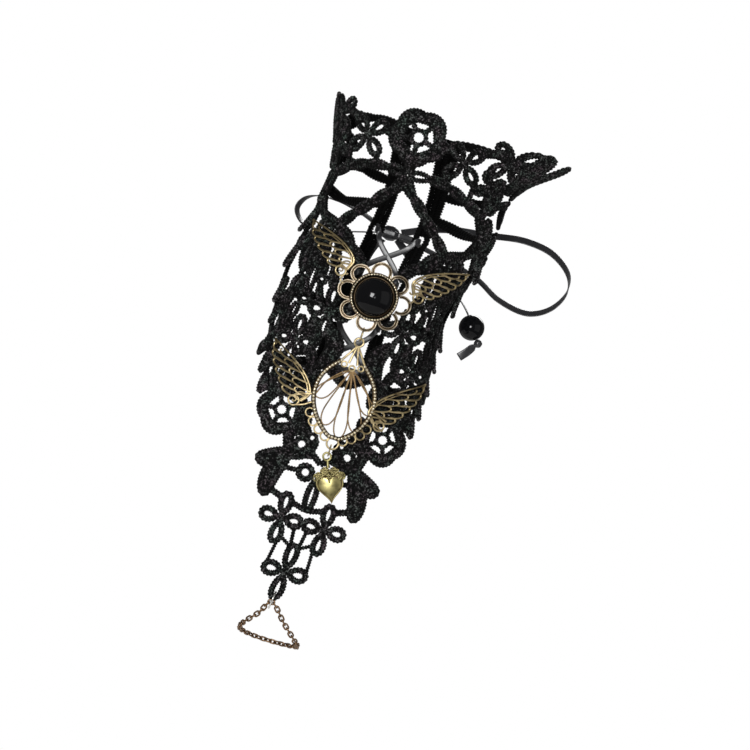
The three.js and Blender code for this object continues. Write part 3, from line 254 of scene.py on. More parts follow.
satin, tree, shader = finish_of(
    "black_satin", (0.018, 0.018, 0.02), 0.32, Sheen_Weight=0.2, Sheen_Roughness=0.35, Specular_IOR_Level=0.5
)
weave_place = new_node(tree, "ShaderNodeUVMap")
weave_place.uv_map = "ribbon"
weave_size = new_node(tree, "ShaderNodeMapping", Scale=(1, 0.012, 1))
weft = new_node(tree, "ShaderNodeTexWave", Scale=900, Distortion=1.5)
weft_grain = new_node(tree, "ShaderNodeBump", Strength=0.08, Distance=0.04 * MM)
join(
    tree,
    (weave_place, "UV", weave_size, "Vector"),
    (weave_size, "Vector", weft, "Vector"),
    (weft, "Fac", weft_grain, "Height"),
    (weft_grain, "Normal", shader, "Normal"),
)


def ribbon_piece(name, route, ways, width, narrow=1.0):
    """A flat ribbon along a route, rounded at its edges. Its width turns through the given ways."""
    along = np.gradient(route, axis=0)
    along /= np.linalg.norm(along, axis=1)[:, None]
    share = np.linspace(0, 1, len(route))
    wide = np.stack([np.interp(share, np.linspace(0, 1, len(ways)), column) for column in zip(*ways)], -1)
    wide -= along * (wide * along).sum(1)[:, None]
    wide /= np.linalg.norm(wide, axis=1)[:, None]
    thin = np.cross(along, wide)
    angle = round_steps(RIBBON_SIDES)
    across = np.sign(np.cos(angle)) * np.abs(np.cos(angle)) ** RIBBON_EDGE * width / 2
    proud = np.sign(np.sin(angle)) * np.abs(np.sin(angle)) ** RIBBON_EDGE * RIBBON_THICK / 2
    full = np.broadcast_to(narrow, (len(route),))
    rings = (
        route[:, None, :]
        + wide[:, None, :] * (across[None, :] * full[:, None])[..., None]
        + thin[:, None, :] * proud[None, :, None]
    )
    length = length_along(route)
    weave = [
        (length[row], column / RIBBON_SIDES)
        for i in range(len(route) - 1)
        for k in range(RIBBON_SIDES)
        for row, column in ((i, k), (i, k + 1), (i + 1, k + 1), (i + 1, k))
    ]
    weave += [(0, k / RIBBON_SIDES) for k in range(2 * RIBBON_SIDES)]
    piece = smooth_piece(name, rings.reshape(-1, 3), grid_faces(len(route), RIBBON_SIDES), satin)
    layer = piece.data.uv_layers.new(name="ribbon")
    layer.data.foreach_set("uv", np.array(weave, np.float32).ravel())
    return piece, float(length[-1])


def bow_loop(name, points, ways):
    route = route_through(np.array(points) * MM, BOW_STEPS)
    loop, length = ribbon_piece(name + "_ribbon", route, ways, RIBBON_WIDTH)
    fitted(loop, "satin", name)


bow_loop("bow_loop_right", BOW_LOOP_RIGHT, [(0, 0.55, 0.85), (0, 0.8, 0.55)])
bow_loop("bow_loop_left", BOW_LOOP_LEFT, [(0, 0.8, 0.6), (0.6, 0.8, 0), (0.3, 0.9, 0.2)])

# Ribbon tails: each runs down from the knot through a black glass bead and is stopped by a small knot,
# with a slanting cut end below it. The right one swings out past the wrist, the left one hangs behind.
BEAD_RADIUS = 4.6 * MM
BEAD_BORE = 0.9 * MM
BEAD_LIP = 0.25 * MM
BEAD_ROWS = 33
BEAD_SIDES = 64
BORE_ROWS = np.linspace(0.96, -0.96, 9)
STOP_KNOT = 1.5 * MM
STOP_KNOT_SIZE = (3.0, 3.0, 3.0)
KNOT_ROWS = 28
KNOT_SIDES = 40
KNOT_POLE = 0.06
FOLD_HEIGHT = 0.07
KNOT_PINCH = 0.05
FOLD_WANDER = (1.3, 0.6)  # how far the folds wander, and where that starts
GATHERED = 0.42
NEAR_BEAD = 1.15 * BEAD_RADIUS
NEAR_KNOT = 1.2 * STOP_KNOT
TAIL_STEPS = 8
TAIL_RIGHT = [
    (3.0, 27.2, 22.6),
    (8, 28.7, 18.9),
    (14, 28.2, 16.4),
    (21, 26.2, 13.8),
    (29.6, 22.6, 9.4),
    (34.7, 21.2, 4.75),
    (37.6, 20.8, 0.25),
    (41.4, 19.5, -4.5),
    (40.25, 19.7, -5.95),
    (38.7, 19.8, -8.3),
    (36.3, 19.8, -11.1),
]
TAIL_LEFT = [
    (-2.0, 26.9, 21.3),
    (-4.4, 29.4, 17.2),
    (-5.8, 30.6, 12),
    (-6.8, 30.6, 5),
    (-7.4, 30.4, -1.45),
    (-7.6, 30.4, -6.4),
    (-8, 30.3, -12.8),
    (-8.2, 30.2, -14.65),
    (-8.6, 30.0, -17),
    (-9.2, 29.6, -20.5),
]

black_glass, tree, shader = finish_of("black_glass", (0.003, 0.003, 0.0035), 0.09, Specular_IOR_Level=0.16)
smears = new_node(tree, "ShaderNodeTexNoise", Scale=380, Detail=4)
smear_range = new_node(tree, "ShaderNodeMapRange", To_Min=0.03, To_Max=0.13)
join(
    tree,
    (new_node(tree, "ShaderNodeTexCoord"), "Object", smears, "Vector"),
    (smears, "Fac", smear_range, "Value"),
    (smear_range, "Result", shader, "Roughness"),
)


def turned_mesh(profile, sides, place, axis):
    """Vertices and faces of a closed profile of (radius, height), turned round an axis at a place."""
    turn_to = np.array(Vector(axis).normalized().to_track_quat("Z", "Y").to_matrix())
    rings = [[(r * math.cos(a), r * math.sin(a), h) for a in round_steps(sides)] for r, h in profile]
    vertices = np.array(rings).reshape(-1, 3) @ turn_to.T + np.array(place)
    return vertices, grid_faces(len(profile), sides, joined=True)


def glass_bead(name, centre, bore_way):
    edge = math.asin((BEAD_BORE + BEAD_LIP) / BEAD_RADIUS)
    arc = np.linspace(edge, math.pi - edge, BEAD_ROWS)
    outside = [(BEAD_RADIUS * math.sin(a), -BEAD_RADIUS * math.cos(a)) for a in arc]
    depth = BEAD_RADIUS * math.cos(edge)
    bore = [(BEAD_BORE, h * depth) for h in BORE_ROWS]
    vertices, faces = turned_mesh(outside + bore, BEAD_SIDES, np.array(centre) * MM, bore_way)
    return fitted(smooth_piece(name + "_glass", vertices, faces, black_glass), "bead", name)


def ribbon_knot(name, centre, sizes, turns):
    """A ball of ribbon turns: a sphere whose surface swells along winding folds."""
    down = np.linspace(KNOT_POLE, math.pi - KNOT_POLE, KNOT_ROWS)[:, None]
    round_it = round_steps(KNOT_SIDES)[None, :]
    winding = turns * down + FOLD_WANDER[0] * np.sin(round_it + FOLD_WANDER[1])
    swell = 1 + FOLD_HEIGHT * np.abs(np.sin(winding)) - KNOT_PINCH
    ways = np.sin(down) * np.cos(round_it), np.sin(down) * np.sin(round_it), np.cos(down)
    ball = np.stack([way * swell for way in ways], -1)
    vertices = ball.reshape(-1, 3) * (np.array(sizes) * MM / 2) + np.array(centre) * MM
    faces = grid_faces(KNOT_ROWS, KNOT_SIDES, other_way=True)
    knot = smooth_piece(name + "_ribbon", vertices, faces, satin)
    knot.data.uv_layers.new(name="ribbon")
    return fitted(knot, "satin", name)


def ribbon_tail(side, points, ways, bead_at, knot_at):
    route = route_through(np.array(points) * MM, TAIL_STEPS)
    near_bead = np.linalg.norm(route - np.array(points[bead_at]) * MM, axis=1) < NEAR_BEAD
    near_knot = np.linalg.norm(route - np.array(points[knot_at]) * MM, axis=1) < NEAR_KNOT
    narrow = np.where(near_bead | near_knot, GATHERED, 1.0)
    narrow = np.convolve(np.pad(narrow, 2, mode="edge"), np.ones(5) / 5, mode="valid")
    tail, length = ribbon_piece("tail_" + side + "_ribbon", route, ways, RIBBON_WIDTH, narrow)
    way = np.array(points[bead_at + 1]) - np.array(points[bead_at - 1])
    bead = glass_bead("bead_" + side, points[bead_at], way)
    knot = ribbon_knot("bead_knot_" + side, points[knot_at], STOP_KNOT_SIZE, 3)
    fitted(tail, "satin", "tail_" + side, "tail_end_" + side)


ribbon_tail("right", TAIL_RIGHT, [(0.6, 0, -1), (0.2, 1, 0), (1, 0, -0.5)], 6, 7)
ribbon_tail("left", TAIL_LEFT, [(1, 0, 0.4), (1, 0.3, 0)], 5, 6)
ribbon_knot("bow_knot", (0, 25.4, 24), (7, 4, 5.4), 5)

# Lacing: one narrow ribbon drawn crosswise through four pairs of eyelets over the gap of the lace on
# the palm side, from the lowest pair up to the knot of the bow.
LACING_WIDTH = 2.0 * MM
LACE_UNDER = 0.3
LACE_TOP = 1.9
LACE_MIDDLE = (LACE_UNDER + LACE_TOP) / 2
EYELETS = [24, 7, -10, -27]
EDGE_S = 70
EDGE_WIDTH = 5.4
STRAND_STEPS = 8
STRAND_START = 1.4
STRAND_CLEAR = 1.1
STRAND_ASIDE = 0.3
STRAND_BEND = 0.24
EYELET_BEND = 0.5
BOW_STRAND_END = (2.4, 22.7, 24.0)
SPREAD_FROM = 34
LACING_GAP = 16
SECTIONS = [
    # height, half width, depth in front and behind, shift, squareness, middle of the lace
    (70, 32.5, 25.5, 25, 3.0, 2.0, 0),
    (56, 31.3, 24.5, 24, 3.0, 2.0, 0),
    (38, 29.5, 22.5, 22, 4.2, 2.0, 0.3),
    (20, 28.6, 20.8, 20.5, 2.4, 2.1, 1.2),
    (0, 27.4, 19.8, 19, -1.0, 2.2, 1.4),
    (-20, 28.2, 19.6, 18.5, -1.6, 2.3, 0.9),
    (-35, 29.8, 20, 18, -1.6, 2.4, 0.5),
    (-60, 33.5, 20.5, 18, 0, 2.6, 0.6),
    (-90, 37, 19.5, 18, 0, 2.8, 0.5),
    (-120, 38, 17, 16, 0, 2.8, -2.4),
]
LOOSE = [
    # place on the chart, reach across and along it, and how far the lace stands off the arm
    (50, 66, 14, 13, 20),
    (-50, 66, 13, 12, 1),
    (38, 28, 9, 14, 2.2),
    (-38, 4, 9, 16, 1.6),
]
CHART_STEP = 0.5
CHART_S = np.arange(-77, 77 + CHART_STEP, CHART_STEP)
CHART_V = np.arange(-121, 71 + CHART_STEP, CHART_STEP)

ROUND_STEPS = 181
FRONT_HALF = slice(45, 136)


def section_values(z):
    """The section's six measures at one height, on a smooth curve through the table."""
    rows = np.array(SECTIONS, float)
    last = len(rows) - 1
    i = 0
    while i < last - 1 and z < rows[i + 1, 0]:
        i += 1
    step = rows[i + 1, 0] - rows[i, 0]
    t = min(max((z - rows[i, 0]) / step, 0), 1)

    def slope(k):
        a, b = rows[max(k - 1, 0)], rows[min(k + 1, last)]
        return (b[1:] - a[1:]) / (b[0] - a[0])

    rise = rows[i + 1, 1:] - rows[i, 1:]
    lean = (slope(i) * step - rise) * (1 - t) - (slope(i + 1) * step - rise) * t
    return rows[i, 1:] + rise * t + t * (1 - t) * lean


def chart_row(z):
    """x, y and the outward way at every chart place of one height of the arm."""
    half, front, back, shift, square, middle = section_values(z)
    angle = np.linspace(-math.pi, math.pi, ROUND_STEPS)
    sine, cosine = np.sin(angle), np.cos(angle)
    depth = np.where(cosine > 0, front, back)
    x = shift + half * np.sign(sine) * np.abs(sine) ** (2 / square)
    y = -depth * np.sign(cosine) * np.abs(cosine) ** (2 / square)
    way = np.concatenate([[0], np.cumsum(np.hypot(np.diff(x), np.diff(y)))])
    way -= np.interp(middle, x[FRONT_HALF], way[FRONT_HALF])
    reach = np.where(CHART_S > 0, way[-1], -way[0])
    past = np.maximum(np.abs(CHART_S) - SPREAD_FROM, 0)
    spread = (reach - LACING_GAP / 2 - SPREAD_FROM) / (EDGE_S - SPREAD_FROM)
    at = np.sign(CHART_S) * (np.minimum(np.abs(CHART_S), SPREAD_FROM) + past * spread)
    tx, ty = np.gradient(x), np.gradient(y)
    long = np.hypot(tx, ty)
    out_x, out_y = np.interp(at, way, ty / long), np.interp(at, way, -tx / long)
    length = np.hypot(out_x, out_y)
    return np.stack([np.interp(at, way, x), np.interp(at, way, y), out_x / length, out_y / length])


CHART = np.array([chart_row(z) for z in CHART_V])


def on_lace(s, v, h):
    """Places in metres of chart places: s round the wrist, v up the arm, h outward from the skin."""
    s, v, h = (np.asarray(q, float) for q in np.broadcast_arrays(s, v, h))
    row = np.clip((v - CHART_V[0]) / CHART_STEP, 0, len(CHART_V) - 1.001)
    column = np.clip((s - CHART_S[0]) / CHART_STEP, 0, len(CHART_S) - 1.001)
    i, j = row.astype(int), column.astype(int)
    p, q = row - i, column - j
    near = CHART[i, :, j] * (1 - q)[..., None] + CHART[i, :, j + 1] * q[..., None]
    far = CHART[i + 1, :, j] * (1 - q)[..., None] + CHART[i + 1, :, j + 1] * q[..., None]
    at = near * (1 - p)[..., None] + far * p[..., None]
    lift = h.copy()
    for loose_s, loose_v, across, along, height in LOOSE:
        lift += height * np.exp(-(((s - loose_s) / across) ** 2) - ((v - loose_v) / along) ** 2)
    return np.stack([at[..., 0] + at[..., 2] * lift, at[..., 1] + at[..., 3] * lift, v], -1) * MM


def lacing_strand(name, side):
    over, under = LACE_TOP + STRAND_CLEAR, LACE_UNDER - STRAND_CLEAR
    beside = EDGE_S + (EDGE_WIDTH / 2 + STRAND_ASIDE)
    low_back = section_values(EYELETS[-1])[2]
    way = [np.array([STRAND_START, low_back + over, EYELETS[-1]]) * MM]
    rows = EYELETS[::-1]
    for i, v in enumerate(rows):
        edge = side * (1 if i % 2 else -1)
        first, second = (under, over) if i % 2 else (over, under)
        way.append(on_lace(edge * beside, v - (v - rows[i - 1]) * STRAND_BEND if i else v, first))
        way.append(on_lace(edge * (EDGE_S + EYELET_BEND), v, first))
        way.append(on_lace(edge * EDGE_S, v, LACE_MIDDLE))
        way.append(on_lace(edge * (EDGE_S + EYELET_BEND), v, second))
        if v != rows[-1]:
            way.append(on_lace(edge * beside, v + (rows[i + 1] - v) * STRAND_BEND, second))
    way.append(np.array(BOW_STRAND_END) * MM)
    strand, _ = ribbon_piece(name, route_through(way, STRAND_STEPS), [(0, 0, 1), (0, 0, 1)], LACING_WIDTH)
    fitted(strand, "satin", "lacing_ribbon")


lacing_strand("lacing_strand_one", 1)
lacing_strand("lacing_strand_two", -1)

# Guipure lace: the thread is stitched in raised, padded cords on a ground that is washed away, so that
# only the cords and what they close in are left. Small loops of thread stand along every edge.
EDGE_PITCH = 1.0
EDGE_DEPTH = 0.38
STITCH_STEP = 0.25
CORD_SIDES = 10
CORD_HALF = 1.12
CORD_ROUNDEST = 0.85
LACE_THICK = 1.6
OVAL_STEPS = 36
DAISY_HEART = (0.8, 0.95, 0.25)  # radius, half width and height of the cord in the middle
PETAL_START = 0.9
PETAL_TAPER = 0.16
PETAL_OVER = 0.04
ROSETTE_RADIUS = 10.6
ROSETTE_STEPS = 96
SPOKE = (2.8, 5.6)  # from the hub out to the ring
LEAF_EDGE = 1.3
LEAF_EDGE_SHARE = 0.19
LEAF_ROUND = 0.85
LEAF_GROOVE = 1.55
LEAF_RIB_LEAST = 0.5
LEAF_RIB_LIFT = 0.2
STRAP_STEP = 0.6
LOBE_SWELL = 0.42
SLIT_ASIDE = 0.45
SLIT_THINS = 0.25
STITCH_OVERLAP = 0.26
BAR_OVERLAP = 0.06
BAR_HALF = 0.6
LACE_STRETCHES = [
    # how low each stretch of the cuff reaches, and its piece
    (39.9, "lace_band"),
    (-4, "lace_windows"),
    (-50, "lace_panels"),
    (-math.inf, "lace_point"),
]
lace_cords = {name: [] for _, name in LACE_STRETCHES}


def add_cord(points, half, closed=False, lift=0.0, thick=LACE_THICK):
    """One stitched cord on the flat chart, its half width at each point and its height."""
    points = np.array(points, float)
    half = np.broadcast_to(np.asarray(half, float), (len(points),))
    flat = np.minimum(thick / 2, CORD_ROUNDEST * half) / half
    stretch = next(name for low, name in LACE_STRETCHES if points[:, 1].mean() > low)
    lace_cords[stretch].append((points, half, flat, LACE_MIDDLE + lift, closed))


def both_sides(make, row):
    """Makes a form on the right and, if it doesn't start on the middle line, on the left too."""
    for side in (1, -1) if row[0] != 0 else (1,):
        make(side, row)


def turned_points(along, aside, angle, s, v, side):
    x = s + along * math.cos(angle) - aside * math.sin(angle)
    return np.stack([side * x, v + along * math.sin(angle) + aside * math.cos(angle)], -1)


def round_cord(s, v, radius, count, side, half, lift):
    t = round_steps(count)
    add_cord(turned_points(radius * np.cos(t), radius * np.sin(t), 0, s, v, side), half, True, lift)


def oval_cord(side, s, v, angle, long, wide, half, lift=0.0, drop=0.0):
    t = round_steps(OVAL_STEPS)
    along = (long / 2 - half) * np.cos(t)
    aside = (wide / 2 - half) * np.sin(t) * (1 + drop * np.cos(t))
    add_cord(turned_points(along, aside, angle, s, v, side), half, True, lift)


def daisy(side, row):
    s, v, turn_by, long, wide, cross, cross_wide, filled = row
    for i in range(4):
        angle = math.radians(turn_by + 90 * i)
        reach, broad = (cross, cross_wide) if i % 2 else (long, wide)
        if filled:
            ends = [(s + at * math.cos(angle), v + at * math.sin(angle)) for at in (PETAL_START, reach)]
            leaf(side, (*ends[0], *ends[1], broad, 0, 0))
            continue
        middle = np.array([(PETAL_START + reach) / 2])
        at = turned_points(middle, np.array([0.0]), angle, s, v, 1)[0]
        long_way = reach - PETAL_START
        oval_cord(side, *at, angle, long_way, broad, CORD_HALF, PETAL_OVER * i, PETAL_TAPER)
    radius, half, lift = DAISY_HEART
    round_cord(s, v, radius, 14, side, half, lift)


def rosette(side, row):
    s, v, radius, lobes, turn_by = row
    scale = radius / ROSETTE_RADIUS
    angle = round_steps(ROSETTE_STEPS)
    bulge = np.abs(np.cos(lobes * (angle - math.radians(turn_by)) / 2))
    for reach, depth, half, lift in ROSETTE_CORDS:
        round_it = reach * scale * (1 - depth + depth * bulge)
        at = turned_points(round_it * np.cos(angle), round_it * np.sin(angle), 0, s, v, side)
        add_cord(at, half * scale, True, lift)
    for i in range(lobes):
        spoke_angle = math.radians(turn_by) + 2 * math.pi * i / lobes
        spoke = np.linspace(*SPOKE, 6) * scale
        at = turned_points(spoke * math.cos(spoke_angle), spoke * math.sin(spoke_angle), 0, s, v, side)
        add_cord(at, 1.0 * scale, lift=0.05)


def thread_ring(side, row):
    s, v, radius, hole = row
    round_cord(s, v, (radius + hole) / 2, 24, side, (radius - hole) / 2, 0.1)


def leaf(side, row):
    s, v, tip_s, tip_v, wide, bow, rise = row
    stem, tip = np.array([side * s, v]), np.array([side * tip_s, tip_v])
    way = tip - stem
    long = np.hypot(*way)
    across = np.array([-way[1], way[0]]) / long
    edge = min(LEAF_EDGE, LEAF_EDGE_SHARE * wide)

    def place(share, aside):
        share = edge / long + share * (1 - 2 * edge / long)
        middle = stem + np.outer(share, way) + np.outer(side * bow * np.sin(math.pi * share), across)
        return middle + np.outer(aside, across)

    a = round_steps(44)
    share = (1 - np.cos(a)) / 2
    aside = (wide / 2 - edge) * np.sign(np.sin(a)) * np.abs(np.sin(a)) ** LEAF_ROUND
    add_cord(place(share, aside), edge, True, rise * share ** 1.5)
    share = np.linspace(0.06, 0.94, 20)
    rib = max(wide / 2 - LEAF_GROOVE * edge, LEAF_RIB_LEAST) * np.sin(math.pi * share) ** 0.6
    add_cord(place(share, 0 * share), rib, lift=LEAF_RIB_LIFT + rise * share ** 1.5)


def strap(side, row):
    wide, lobes, slit, way = row
    route = route_through([(side * s, v, 0) for s, v in way], 12)[:, :2]
    length = length_along(route)
    share = np.linspace(0, 1, max(int(length[-1] / STRAP_STEP), 8))
    at = np.stack([np.interp(share * length[-1], length, route[:, k]) for k in (0, 1)], -1)
    along = np.gradient(at, axis=0)
    along /= np.linalg.norm(along, axis=1)[:, None]
    across = np.stack([-along[:, 1], along[:, 0]], -1)
    full = 1 - LOBE_SWELL + LOBE_SWELL * np.abs(np.sin(math.pi * lobes * share)) ** 0.8
    open_by = slit * np.clip(np.sin(math.pi * np.clip(lobes * share, 0, 1)), 0, 1) ** 1.5
    for half_side in (1, -1):
        offset = (wide / 4 * full + open_by * SLIT_ASIDE)[:, None]
        half = wide / 4 * full + STITCH_OVERLAP - open_by * SLIT_THINS
        add_cord(at + across * half_side * side * offset, half, lift=0.06 * half_side)


def thread_bar(side, row):
    s, v, end_s, end_v, wide = row
    share = np.linspace(-BAR_OVERLAP, 1 + BAR_OVERLAP, 9)[:, None]
    ends = np.array([side * s, v]), np.array([side * end_s, end_v])
    add_cord(ends[0] * (1 - share) + ends[1] * share, BAR_HALF * wide, thick=min(LACE_THICK, wide))


DAISIES = [
    # place, turn, length and width of the long pair of petals and of the cross pair, and whether solid
    (17.8, 53.8, 45, 8.9, 5.6, 8.9, 5.6, False),
    (33.5, 58.6, 45, 8.9, 5.6, 8.9, 5.6, False),
    (29.8, 48.6, 30, 6.6, 4.6, 6.6, 4.6, False),
    (49, 54.5, 45, 10.5, 5.0, 8.9, 5.0, True),
    (13.3, -9.3, 88, 9.6, 5.6, 8.0, 6.0, False),
    (21.8, -22.0, 90, 9.4, 5.4, 7.8, 5.8, False),
    (38, -10, 80, 9.6, 4.8, 8.2, 5.2, True),
    (37, 12, 96, 9.6, 4.8, 8.2, 5.2, True),
    (7.7, -83.2, 90, 9.8, 5.6, 8.2, 6.0, False),
    (0, -101, 90, 11.0, 5.6, 8.6, 6.2, False),
]
ROSETTES = [
    # place, radius, lobes and turn
    (0, 57.8, 10.6, 5, -90),
    (18.3, -47, 9.6, 5, 70),
]
ROSETTE_CORDS = [
    # radius, depth of its lobes, half width and height of each cord round the hub
    (9.3, 0.16, 1.35, 0.0),
    (7.35, 0.12, 1.3, 0.28),
    (6.0, 0.06, 0.8, 0.1),
    (2.5, 0, 0.85, 0.2),
]
RINGS = [
    # place, radius and radius of the hole
    (23.5, -6.8, 3.2, 1.1),
    (26.5, 1.2, 2.6, 0.5),
    (19.3, 0.8, 2.5, 0.5),
    (8.2, -56.6, 3.3, 1.2),
    (4.2, -65.6, 3.5, 1.2),
    (29.2, -31.5, 3.2, 1.2),
    (0, 44.2, 2.6, 0.3),
    (5.3, -53.4, 2.2, 0.7),
    (4.7, -58.9, 2.1, 0.6),
]
LEAVES = [
    # stem, tip, width, bow and how far the tip stands off the arm
    (12.0, -13.5, 10.5, -29.0, 6.8, -3.8, 0),
    (11.5, -26.5, 0, -33.2, 4.6, -1.2, 0),
    (10.4, -60.0, 22.6, -66.0, 7.4, -1.0, 0),
    (11.6, -60.5, 16.4, -78.0, 7.2, 1.6, 0),
    (11.8, -62.0, 3.2, -53.2, 4.2, 1.8, 0),
    (33.5, 22.0, 40.5, 33.0, 5.0, 1.0, 0),
    (33.5, 20.0, 43.5, 24.5, 4.8, 0, 0),
    (30.5, -25.5, 39.5, -30.5, 5.0, 0.6, 0),
    (47.5, 45.0, 40.5, 36.0, 4.6, 0.5, 0),
    (33.0, 8.5, 28.5, 15.5, 4.4, 0, 0),
    (32.5, 27.0, 35.0, 14.5, 4.4, 0.6, 2.6),
    (33.5, 14.5, 35.5, 1.0, 4.8, 0.8, 2.0),
    (34.5, -1.5, 35.0, -12.0, 4.8, 0.5, 2.0),
    (34.0, -10.5, 33.5, -19.5, 4.4, 0.3, 1.8),
    (31.0, -19.0, 32.0, -28.0, 4.4, 0, 1.8),
    (30.2, -29.0, 29.4, -37.0, 4.2, 0, 1.6),
    (28.4, -36.0, 27.0, -44.0, 4.2, 0, 1.6),
    (12.4, -27.0, 10.8, -38.5, 4.4, -0.8, 0),
    (34.5, 51.0, 32.2, 39.0, 5.0, 0.6, 0.5),
    (33.6, 38.5, 31.8, 26.5, 5.0, 0.5, 1.2),
    (38.0, 47.5, 39.5, 66.0, 4.8, 0, 0.8),
    (42.0, 47.0, 44.5, 64.5, 4.6, 0, 1.2),
]
STRAPS = [
    # width, lobes, how far the first lobe opens as a slit, and the way it runs
    (3.6, 4, 0.9, [(0, 44.2), (7.2, 45.0), (14.4, 44.4), (19.8, 42.4), (28.6, 38.2)]),
    (3.9, 4, 0, [(0, 43.6), (2.2, 39.2), (6.6, 34.8), (10.5, 30.5), (14.6, 26.4), (19.6, 20.8)]),
    (3.9, 2, 0, [(19.6, 20.8), (15.1, 17.9), (12.4, 14.9), (9, 11.8), (6.2, 8.2)]),
    (4.2, 3, 0, [(28.6, 38.2), (31.4, 33), (30.6, 26.5), (25.5, 22), (19.6, 20.8)]),
    (4.4, 3, 0.8, [(25.0, 21.6), (27.6, 13.5), (26.8, 3.2)]),
    (4.2, 3, 0.8, [(20.2, 20.0), (21.6, 11.5), (19.6, 2.4)]),
    (3.8, 3, 0, [(17.0, 18.6), (16.6, 9.0), (14.6, -1.0)]),
    (4.8, 4, 0.6, [(27.4, -0.6), (30.4, -9.0), (29.2, -21.5)]),
    (3.0, 2, 0, [(12.4, -27.5), (14.0, -33.0), (13.6, -39.5)]),
    (2.8, 2, 0, [(17.8, -28.0), (19.6, -33.0), (19.4, -39.0)]),
    (2.8, 2, 0, [(24.4, -27.5), (25.2, -33.5), (24.0, -40.5)]),
    (3.4, 4, 0, [(28.6, 38.4), (36, 43.5), (46, 44.5), (57, 43), (68.6, 41.5)]),
    (3.2, 2, 0, [(52, 58.5), (60, 61.5), (68.6, 61.5)]),
    (3.4, 2, 0, [(40, 33.5), (54, 30.5), (68.6, 33)]),
    (3.4, 2, 0, [(43.5, 14), (56, 17), (68.6, 13)]),
    (3.4, 2, 0, [(44.5, -9), (57, -5.5), (68.6, -8)]),
    (3.6, 2, 0, [(37.5, -30), (48, -27), (58, -30.5), (68.6, -27)]),
    (3.4, 1, 0.9, [(22.9, 5.5), (23.3, -0.5), (22.8, -4.6)]),
    (2.6, 1, 0, [(19.3, -1.0), (18.8, -3.8), (17.2, -6.4)]),
    (2.6, 1, 0, [(26.6, -0.6), (26.4, -3.6), (25.2, -5.4)]),
    (3.4, 2, 0.8, [(25.4, -9.4), (26.4, -15.2), (25.6, -21.2)]),
    (2.8, 1, 0, [(27.4, -24.0), (28.2, -26.6), (28.6, -29.2)]),
    (3.4, 2, 0.5, [(13.4, -40.0), (11.9, -46.6), (10.6, -53.0)]),
    (3.8, 3, 0, [(10.4, -41.5), (9.0, -48.5), (7.6, -54.0)]),
    (2.6, 1, 0, [(16.6, -13.2), (15.0, -18.0), (15.4, -22.4)]),
    (2.8, 2, 0, [(23.6, 17.5), (24.4, 11.5), (23.4, 4.5)]),
    (2.6, 2, 0, [(30.2, 17.5), (30.6, 9.5), (28.8, 2.4)]),
    (3.6, 2, 0.6, [(14.2, -18.0), (14.9, -23.0), (13.2, -28.5)]),
    (2.6, 1, 0, [(16.3, -30.0), (16.8, -35.0), (16.4, -40.0)]),
]
BARS = [
    # start, end and width
    (0.6, -83.2, -0.6, -83.2, 2.2),
    (6.6, -92.4, 7.2, -99.5, 1.1),
    (5.0, -90.0, 1.5, -92.0, 1.2),
    (2.4, -84.2, 1.4, -92.6, 1.2),
    (8.6, 56.4, 12.6, 57.6, 2.8),
    (0, 48.5, 0, 45.0, 3.4),
    (22.3, 58.5, 30.6, 61.5, 2.7),
    (23.6, 47.8, 23.0, 41.0, 1.8),
    (12.2, 48.0, 12.2, 45.0, 1.8),
    (28.8, 54.6, 30.4, 37.6, 2.0),
    (0.2, -61.2, 5.6, -57.4, 2.0),
    (7.0, -65.6, 12.4, -66.0, 1.6),
    (14.4, -74.6, 9.2, -76.4, 2.0),
    (1.2, -78.2, 6.2, -76.8, 1.8),
    (13.6, -54.6, 12.0, -60.0, 3.4),
    (10.6, -54.0, 12.6, -51.4, 2.4),
    (19.5, -10.0, 21.6, -8.6, 2.0),
    (17.2, -12.6, 18.2, -19.6, 3.0),
    (14.6, -24.4, 19.2, -26.0, 2.4),
    (36.4, -18.2, 31.5, -25.8, 2.4),
    (26.5, -28.6, 27.8, -29.8, 2.2),
    (29.2, -34.0, 25.6, -41.5, 2.0),
    (30.2, -9.4, 33.0, -10.2, 2.2),
    (33.2, 17.6, 31.8, 24.8, 2.4),
    (38.2, 3.2, 38.6, -1.4, 2.4),
]
LOOPS = [
    # start, end and width of a long open loop
    (0.3, -66.6, -0.3, -79.5, 5.2),
    (20.6, -31.2, 22.4, -38.6, 4.6),
]

for make, table in (
    (daisy, DAISIES),
    (rosette, ROSETTES),
    (thread_ring, RINGS),
    (leaf, LEAVES),
    (strap, STRAPS),
    (thread_bar, BARS),
):
    for row in table:
        both_sides(make, row)
for s, v, end_s, end_v, wide in LOOPS:
    for side in (1, -1) if abs(s) > 1 else (1,):
        long, angle = math.hypot(end_s - s, end_v - v), math.atan2(end_v - v, end_s - s)
        oval_cord(side, (s + end_s) / 2, (v + end_v) / 2, angle, long, wide, CORD_HALF)

EDGE_TOP = 62
EDGE_BOTTOM = -29
EDGE_CORD = (1.75, 0.98)  # distance from the line of eyelets, and half width
MIDDLE_CORD = (0.95, 0.12)  # half width and height
EYELET_CLEAR = 2.6
EYELET_RING = (2.9, 1.9)  # radius and radius of the hole
for side in (1, -1):
    ends = np.linspace(EDGE_BOTTOM, EDGE_TOP, 60)
    for aside in (-EDGE_CORD[0], EDGE_CORD[0]):
        add_cord(np.stack([np.full(60, side * (EDGE_S + aside)), ends], -1), EDGE_CORD[1])
    stops = [EDGE_BOTTOM - EYELET_CLEAR, *reversed(EYELETS), EDGE_TOP + EYELET_CLEAR]
    for low, high in zip(stops, stops[1:]):
        run = np.linspace(low + EYELET_CLEAR, high - EYELET_CLEAR, 12)
        add_cord(np.stack([np.full(12, side * EDGE_S), run], -1), MIDDLE_CORD[0], lift=MIDDLE_CORD[1])
    for eyelet in EYELETS:
        thread_ring(side, (EDGE_S, eyelet, *EYELET_RING))


